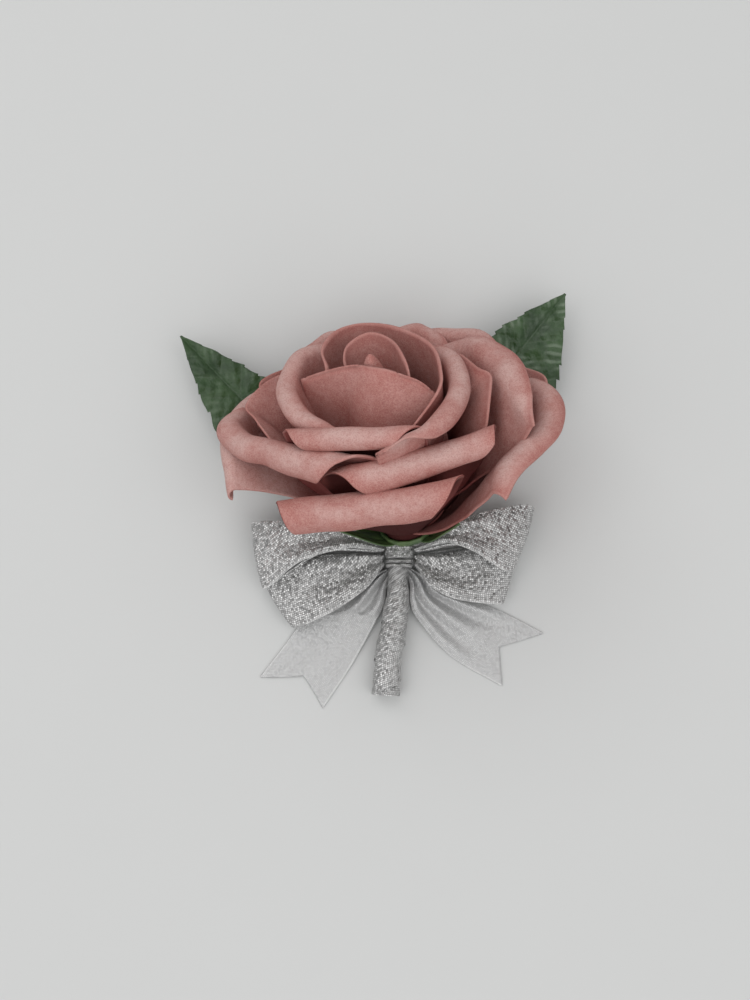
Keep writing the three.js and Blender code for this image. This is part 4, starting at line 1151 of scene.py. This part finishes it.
class FLOWER_OT_bow(bpy.types.Operator):
    """Make the knot, the four loops and the two tails of the bow"""

    bl_idname = "flower.bow"
    bl_label = "Ribbon bow"

    def execute(self, context):
        ribbon = context.scene.flower_ribbon
        glitter, satin = glitter_finish(ribbon), satin_finish(ribbon)
        for number, (name, edges) in enumerate(LOOPS.items()):
            self.loop(name, edges, LOOP_SEED + number, ribbon, glitter, satin)
        for name, edges in TAILS.items():
            self.tail(name, edges, ribbon, satin)
        self.knot(ribbon, glitter, satin)
        return {"FINISHED"}

    def loop(self, name, edges, seed, ribbon, glitter, satin):
        """One loop of the bow, glitter side out, running into the knot at both ends."""
        grid = ribbon_grid(edges, LOOP_ROWS, LOOP_CROWN, LOOP_PLEATS, ribbon.width / MM)
        u, v = lengths(grid)
        grid = grid + normals_of(grid) * ripple(u, v, seed, LOOP_UNEVENNESS)[..., None]
        glitter_first = normals_of(grid)[LOOP_ROWS // 5, RIBBON_COLUMNS // 2, 2] > 0
        faces = [glitter, satin, glitter] if glitter_first else [satin, glitter, glitter]
        values = {"edge": selvedge(v, LOOP_SELVEDGE), "painted_shade": painted_shade_near_knot(grid)}
        piece = shell(name.replace("bow_", "ribbon_"), grid, ribbon.thickness / MM, faces, values)
        settle(piece, name)

    def tail(self, name, edges, ribbon, satin):
        """One loose end of the bow, satin side up, cut to a notch."""
        grid = ribbon_grid(edges, TAIL_ROWS, TAIL_CROWN, TAIL_PLEATS, ribbon.width / MM, NOTCH)
        u, v = lengths(grid)
        values = {"edge": selvedge(v, TAIL_SELVEDGE), "painted_shade": 0.5 * painted_shade_near_knot(grid)}
        piece = shell(name.replace("bow_", "ribbon_"), grid, ribbon.thickness / MM, [satin], values)
        settle(piece, name)

    def knot(self, ribbon, glitter, satin):
        """Band of pleated ribbon round the stem."""
        around = []
        for turn, side, level in ((-45, 1, 0), (45, 1, 1), (135, 0, 1), (225, 0, 0)):
            corner_x = KNOT_X[side] + (KNOT_CORNER, -KNOT_CORNER)[side]
            corner_z = KNOT_Z[level] + (KNOT_CORNER, -KNOT_CORNER)[level]
            for angle in np.radians(np.linspace(turn - 45, turn + 45, KNOT_CORNER_STEPS)):
                around.append((corner_x, corner_z, math.cos(angle), math.sin(angle)))
        around = np.array(around)
        plan = np.column_stack((KNOT_PROFILE, np.zeros(len(KNOT_PROFILE))))
        path = curve(plan, np.linspace(0, 1, KNOT_STEPS))
        reach = KNOT_CORNER - KNOT_INSET + path[None, :, 1]
        x = around[:, None, 0] + around[:, None, 2] * reach
        z = around[:, None, 1] + around[:, None, 3] * reach
        grid = np.stack((x, np.broadcast_to(path[None, :, 0], x.shape), z), axis=-1)
        # The whole knot is painted in shade
        values = {"edge": np.zeros(x.shape), "painted_shade": np.full(x.shape, KNOT_SHADE)}
        thick = min(ribbon.thickness / MM, KNOT_THICKNESS)
        knot = shell("ribbon_knot", grid, thick, [glitter, satin, glitter], values, ring=True)
        settle(knot, "bow_knot")
        long = float(np.linalg.norm(np.diff(grid, axis=0), axis=-1).sum(0).mean()) * MM


class FLOWER_OT_leaves(bpy.types.Operator):
    """Make the two serrated leaves with their stalks"""

    bl_idname = "flower.leaves"
    bl_label = "Leaves"

    def execute(self, context):
        greens = context.scene.flower_greens
        finish = leaf_finish(greens)
        for number, (name, leaf) in enumerate(LEAVES.items()):
            self.blade(name, leaf, number, greens, finish)
            self.stalk(name, leaf, finish)
        return {"FINISHED"}

    def blade(self, name, leaf, number, greens, finish):
        """A leaf's toothed, puckered blade, folded up a little on both sides of its rib."""
        share = np.linspace(0, 1, LEAF_ROWS)
        centre = curve(leaf["rib"], leaf["blade"] + (1 - leaf["blade"]) * share)
        _, right, top = sides_of(centre)
        sides = np.arange(-LEAF_COLUMNS, LEAF_COLUMNS + 1) / LEAF_COLUMNS
        reach = self.reach(share, sides, leaf["half"], number, greens.teeth)
        slope = np.radians(np.where(sides < 0, leaf["fold"][0], leaf["fold"][1]))
        veins, pucker, streak = self.veins(share, reach, leaf)
        height = reach * np.sin(slope) - LEAF_DROOP * reach**2 + pucker
        grid = (
            centre[:, None] + right[:, None] * (np.sign(sides) * reach * np.cos(slope))[..., None]
            + top[:, None] * height[..., None]
        )
        values = {"vein": veins, "streak": leaf["painted_highlight"] * streak}
        thickness = greens.leaf_thickness / MM
        blade = shell(name.replace("leaf", "leaf_blade"), grid, thickness, [finish], values)
        settle(blade, name)

    def reach(self, share, sides, halves, number, teeth):
        """Distance of each place of a blade from its rib, out to an edge with uneven teeth."""
        rise = np.sin(np.pi / 2 * np.minimum(share / 0.5, 1)) ** 0.8
        fall = np.sin(np.pi / 2 * np.minimum((1 - share) / 0.5, 1))
        outline = np.minimum(rise, fall)
        reach = np.zeros((len(share), len(sides)))
        for side, pick in enumerate((sides < 0, sides >= 0)):
            uneven = 0.35 * np.sin(share * 23 + 2 * side + number) + 0.2 * np.sin(share * 61 + side)
            phase = (share * teeth + 0.3 * side + uneven) % 1
            saw = 1 + 0.085 * (0.5 - phase) + 0.03 * np.sin(share * 57 + 3 * number + side)
            half = halves[side] * np.maximum(outline * saw, 0.02)
            reach[:, pick] = half[:, None] * np.abs(sides[pick])[None]
        return reach

    def veins(self, share, reach, leaf):
        """Vein pattern strength, puckered blade height and strength of the painted sheen streaks."""
        long = RIB_LENGTH * (1 - leaf["blade"])
        along = share[:, None] * long - 0.75 * reach
        phase = (along / VEIN_SPACING) % 1
        near = np.minimum(phase, 1 - phase) * VEIN_SPACING
        side = np.exp(-((near / 0.28) ** 2))
        middle = np.exp(-((reach / 0.5) ** 2))
        wander = 1 + 0.6 * np.sin(along * 0.9 + 2 * leaf["blade"]) * np.sin(reach * 0.8)
        creases = 0.13 * np.sin(along * 2.1 + 1.4 * reach) * np.sin(reach * 1.9 + along * 0.6)
        pucker = (0.4 * np.sin(np.pi * phase) * wander + creases) * smooth(reach / 2.5) - 0.2 * middle
        # Lines of painted sheen along the side veins, in patches
        threads = smooth((np.sin(along * 3.3 + 1.2 * np.sin(reach * 0.9)) + 0.1) / 0.9)
        patch = np.sin(along * 0.62 + reach * 0.35 + 1) * np.sin(reach * 0.5 + along * 0.21)
        streak = threads * smooth((patch + 0.15) / 0.5) * smooth(reach / 1.5)
        return np.maximum(side * smooth(reach / 0.6), middle), pucker + 0.1 * streak, streak

    def stalk(self, name, leaf, finish):
        """A leaf's stalk from the calyx, thinning under the blade."""
        share = np.linspace(0, leaf["blade"] + 0.25, STALK_STEPS)
        route = curve(leaf["rib"], share) - (0, 0, 0.1)
        radii = np.linspace(*STALK_RADII, STALK_STEPS)
        stalk = tube(name.replace("leaf", "leaf_stalk"), route, radii, STALK_SIDES, finish)
        settle(stalk, name)


class FLOWER_OT_stage(bpy.types.Operator):
    """Make the floor, the soft lights and the camera"""

    bl_idname = "flower.stage"
    bl_label = "Floor, lights and camera"

    def execute(self, context):
        stage = context.scene.flower_stage
        self.floor(context, stage)
        self.camera(context)
        for name, (place, share) in LIGHTS.items():
            self.area(context, name, place, share * stage.key_power)
        world = bpy.data.worlds.new("studio")
        world.use_nodes = True
        background = world.node_tree.nodes["Background"]
        background.inputs["Color"].default_value = (*SKY_COLOUR, 1.0)
        background.inputs["Strength"].default_value = stage.sky
        context.scene.world = world
        context.scene.view_settings.view_transform = "Standard"
        return {"FINISHED"}

    def floor(self, context, stage):
        """A wide flat floor at height 0."""
        far = FLOOR_HALF
        corners = [(-far, -far, 0), (far, -far, 0), (far, far, 0), (-far, far, 0)]
        mesh = bpy.data.meshes.new("floor")
        mesh.from_pydata(corners, [], [(0, 1, 2, 3)])
        mesh.materials.append(floor_finish(stage))
        floor = bpy.data.objects.new("floor", mesh)
        context.scene.collection.objects.link(floor)

    def camera(self, context):
        """The camera, high above the stem's end and looking at the middle of the flower."""
        data = bpy.data.cameras.new("camera")
        data.sensor_fit = "VERTICAL"
        data.sensor_height = SENSOR_HEIGHT
        data.lens = LENS
        data.clip_start = 0.01
        camera = bpy.data.objects.new("camera", data)
        target = Vector(SHIFT * MM)
        elevation = math.radians(CAMERA_ELEVATION)
        back = Vector((0, -math.cos(elevation), math.sin(elevation)))
        camera.location = target + CAMERA_DISTANCE * back
        camera.rotation_euler = (target - camera.location).to_track_quat("-Z", "Y").to_euler()
        context.scene.collection.objects.link(camera)
        context.scene.camera = camera

    def area(self, context, name, place, power):
        """A square soft light, turned to the flower."""
        data = bpy.data.lights.new(name, "AREA")
        data.size = LIGHT_WIDTH
        data.energy = power
        light = bpy.data.objects.new(name, data)
        light.location = place
        light.rotation_euler = (Vector(LIGHT_AIM) - Vector(place)).to_track_quat("-Z", "Y").to_euler()
        context.scene.collection.objects.link(light)


class FLOWER_PT_panel(bpy.types.Panel):
    """Sizes, colours and pieces of the lapel flower"""

    bl_idname = "FLOWER_PT_panel"
    bl_label = "Lapel Flower"
    bl_space_type = "VIEW_3D"
    bl_region_type = "UI"
    bl_category = "Lapel Flower"

    def draw(self, context):
        for key, operators in PARTS.items():
            box = self.layout.box()
            settings = getattr(context.scene, key)
            for name in settings.__annotations__:
                box.prop(settings, name)
            for operator in operators:
                box.operator(operator.bl_idname)


PARTS = {
    "flower_rose": (FLOWER_OT_bloom,),
    "flower_greens": (FLOWER_OT_calyx, FLOWER_OT_leaves),
    "flower_ribbon": (FLOWER_OT_stem, FLOWER_OT_bow),
    "flower_stage": (FLOWER_OT_stage,),
}
SETTINGS = {
    "flower_rose": RoseSettings,
    "flower_greens": GreenerySettings,
    "flower_ribbon": RibbonSettings,
    "flower_stage": StageSettings,
}
CLASSES = (
    *SETTINGS.values(), FLOWER_OT_bloom, FLOWER_OT_calyx, FLOWER_OT_stem, FLOWER_OT_bow,
    FLOWER_OT_leaves, FLOWER_OT_stage, FLOWER_PT_panel,
)


def register():
    for cls in CLASSES:
        bpy.utils.register_class(cls)
    for key, cls in SETTINGS.items():
        setattr(bpy.types.Scene, key, PointerProperty(type=cls))


def unregister():
    for key in SETTINGS:
        delattr(bpy.types.Scene, key)
    for cls in reversed(CLASSES):
        bpy.utils.unregister_class(cls)


def main():
    """Build the flower on its stage."""
    register()
    bpy.ops.flower.stage()
    bpy.ops.flower.bloom()
    bpy.ops.flower.calyx()
    bpy.ops.flower.stem()
    bpy.ops.flower.bow()
    bpy.ops.flower.leaves()


if __name__ == "__main__":
    main()
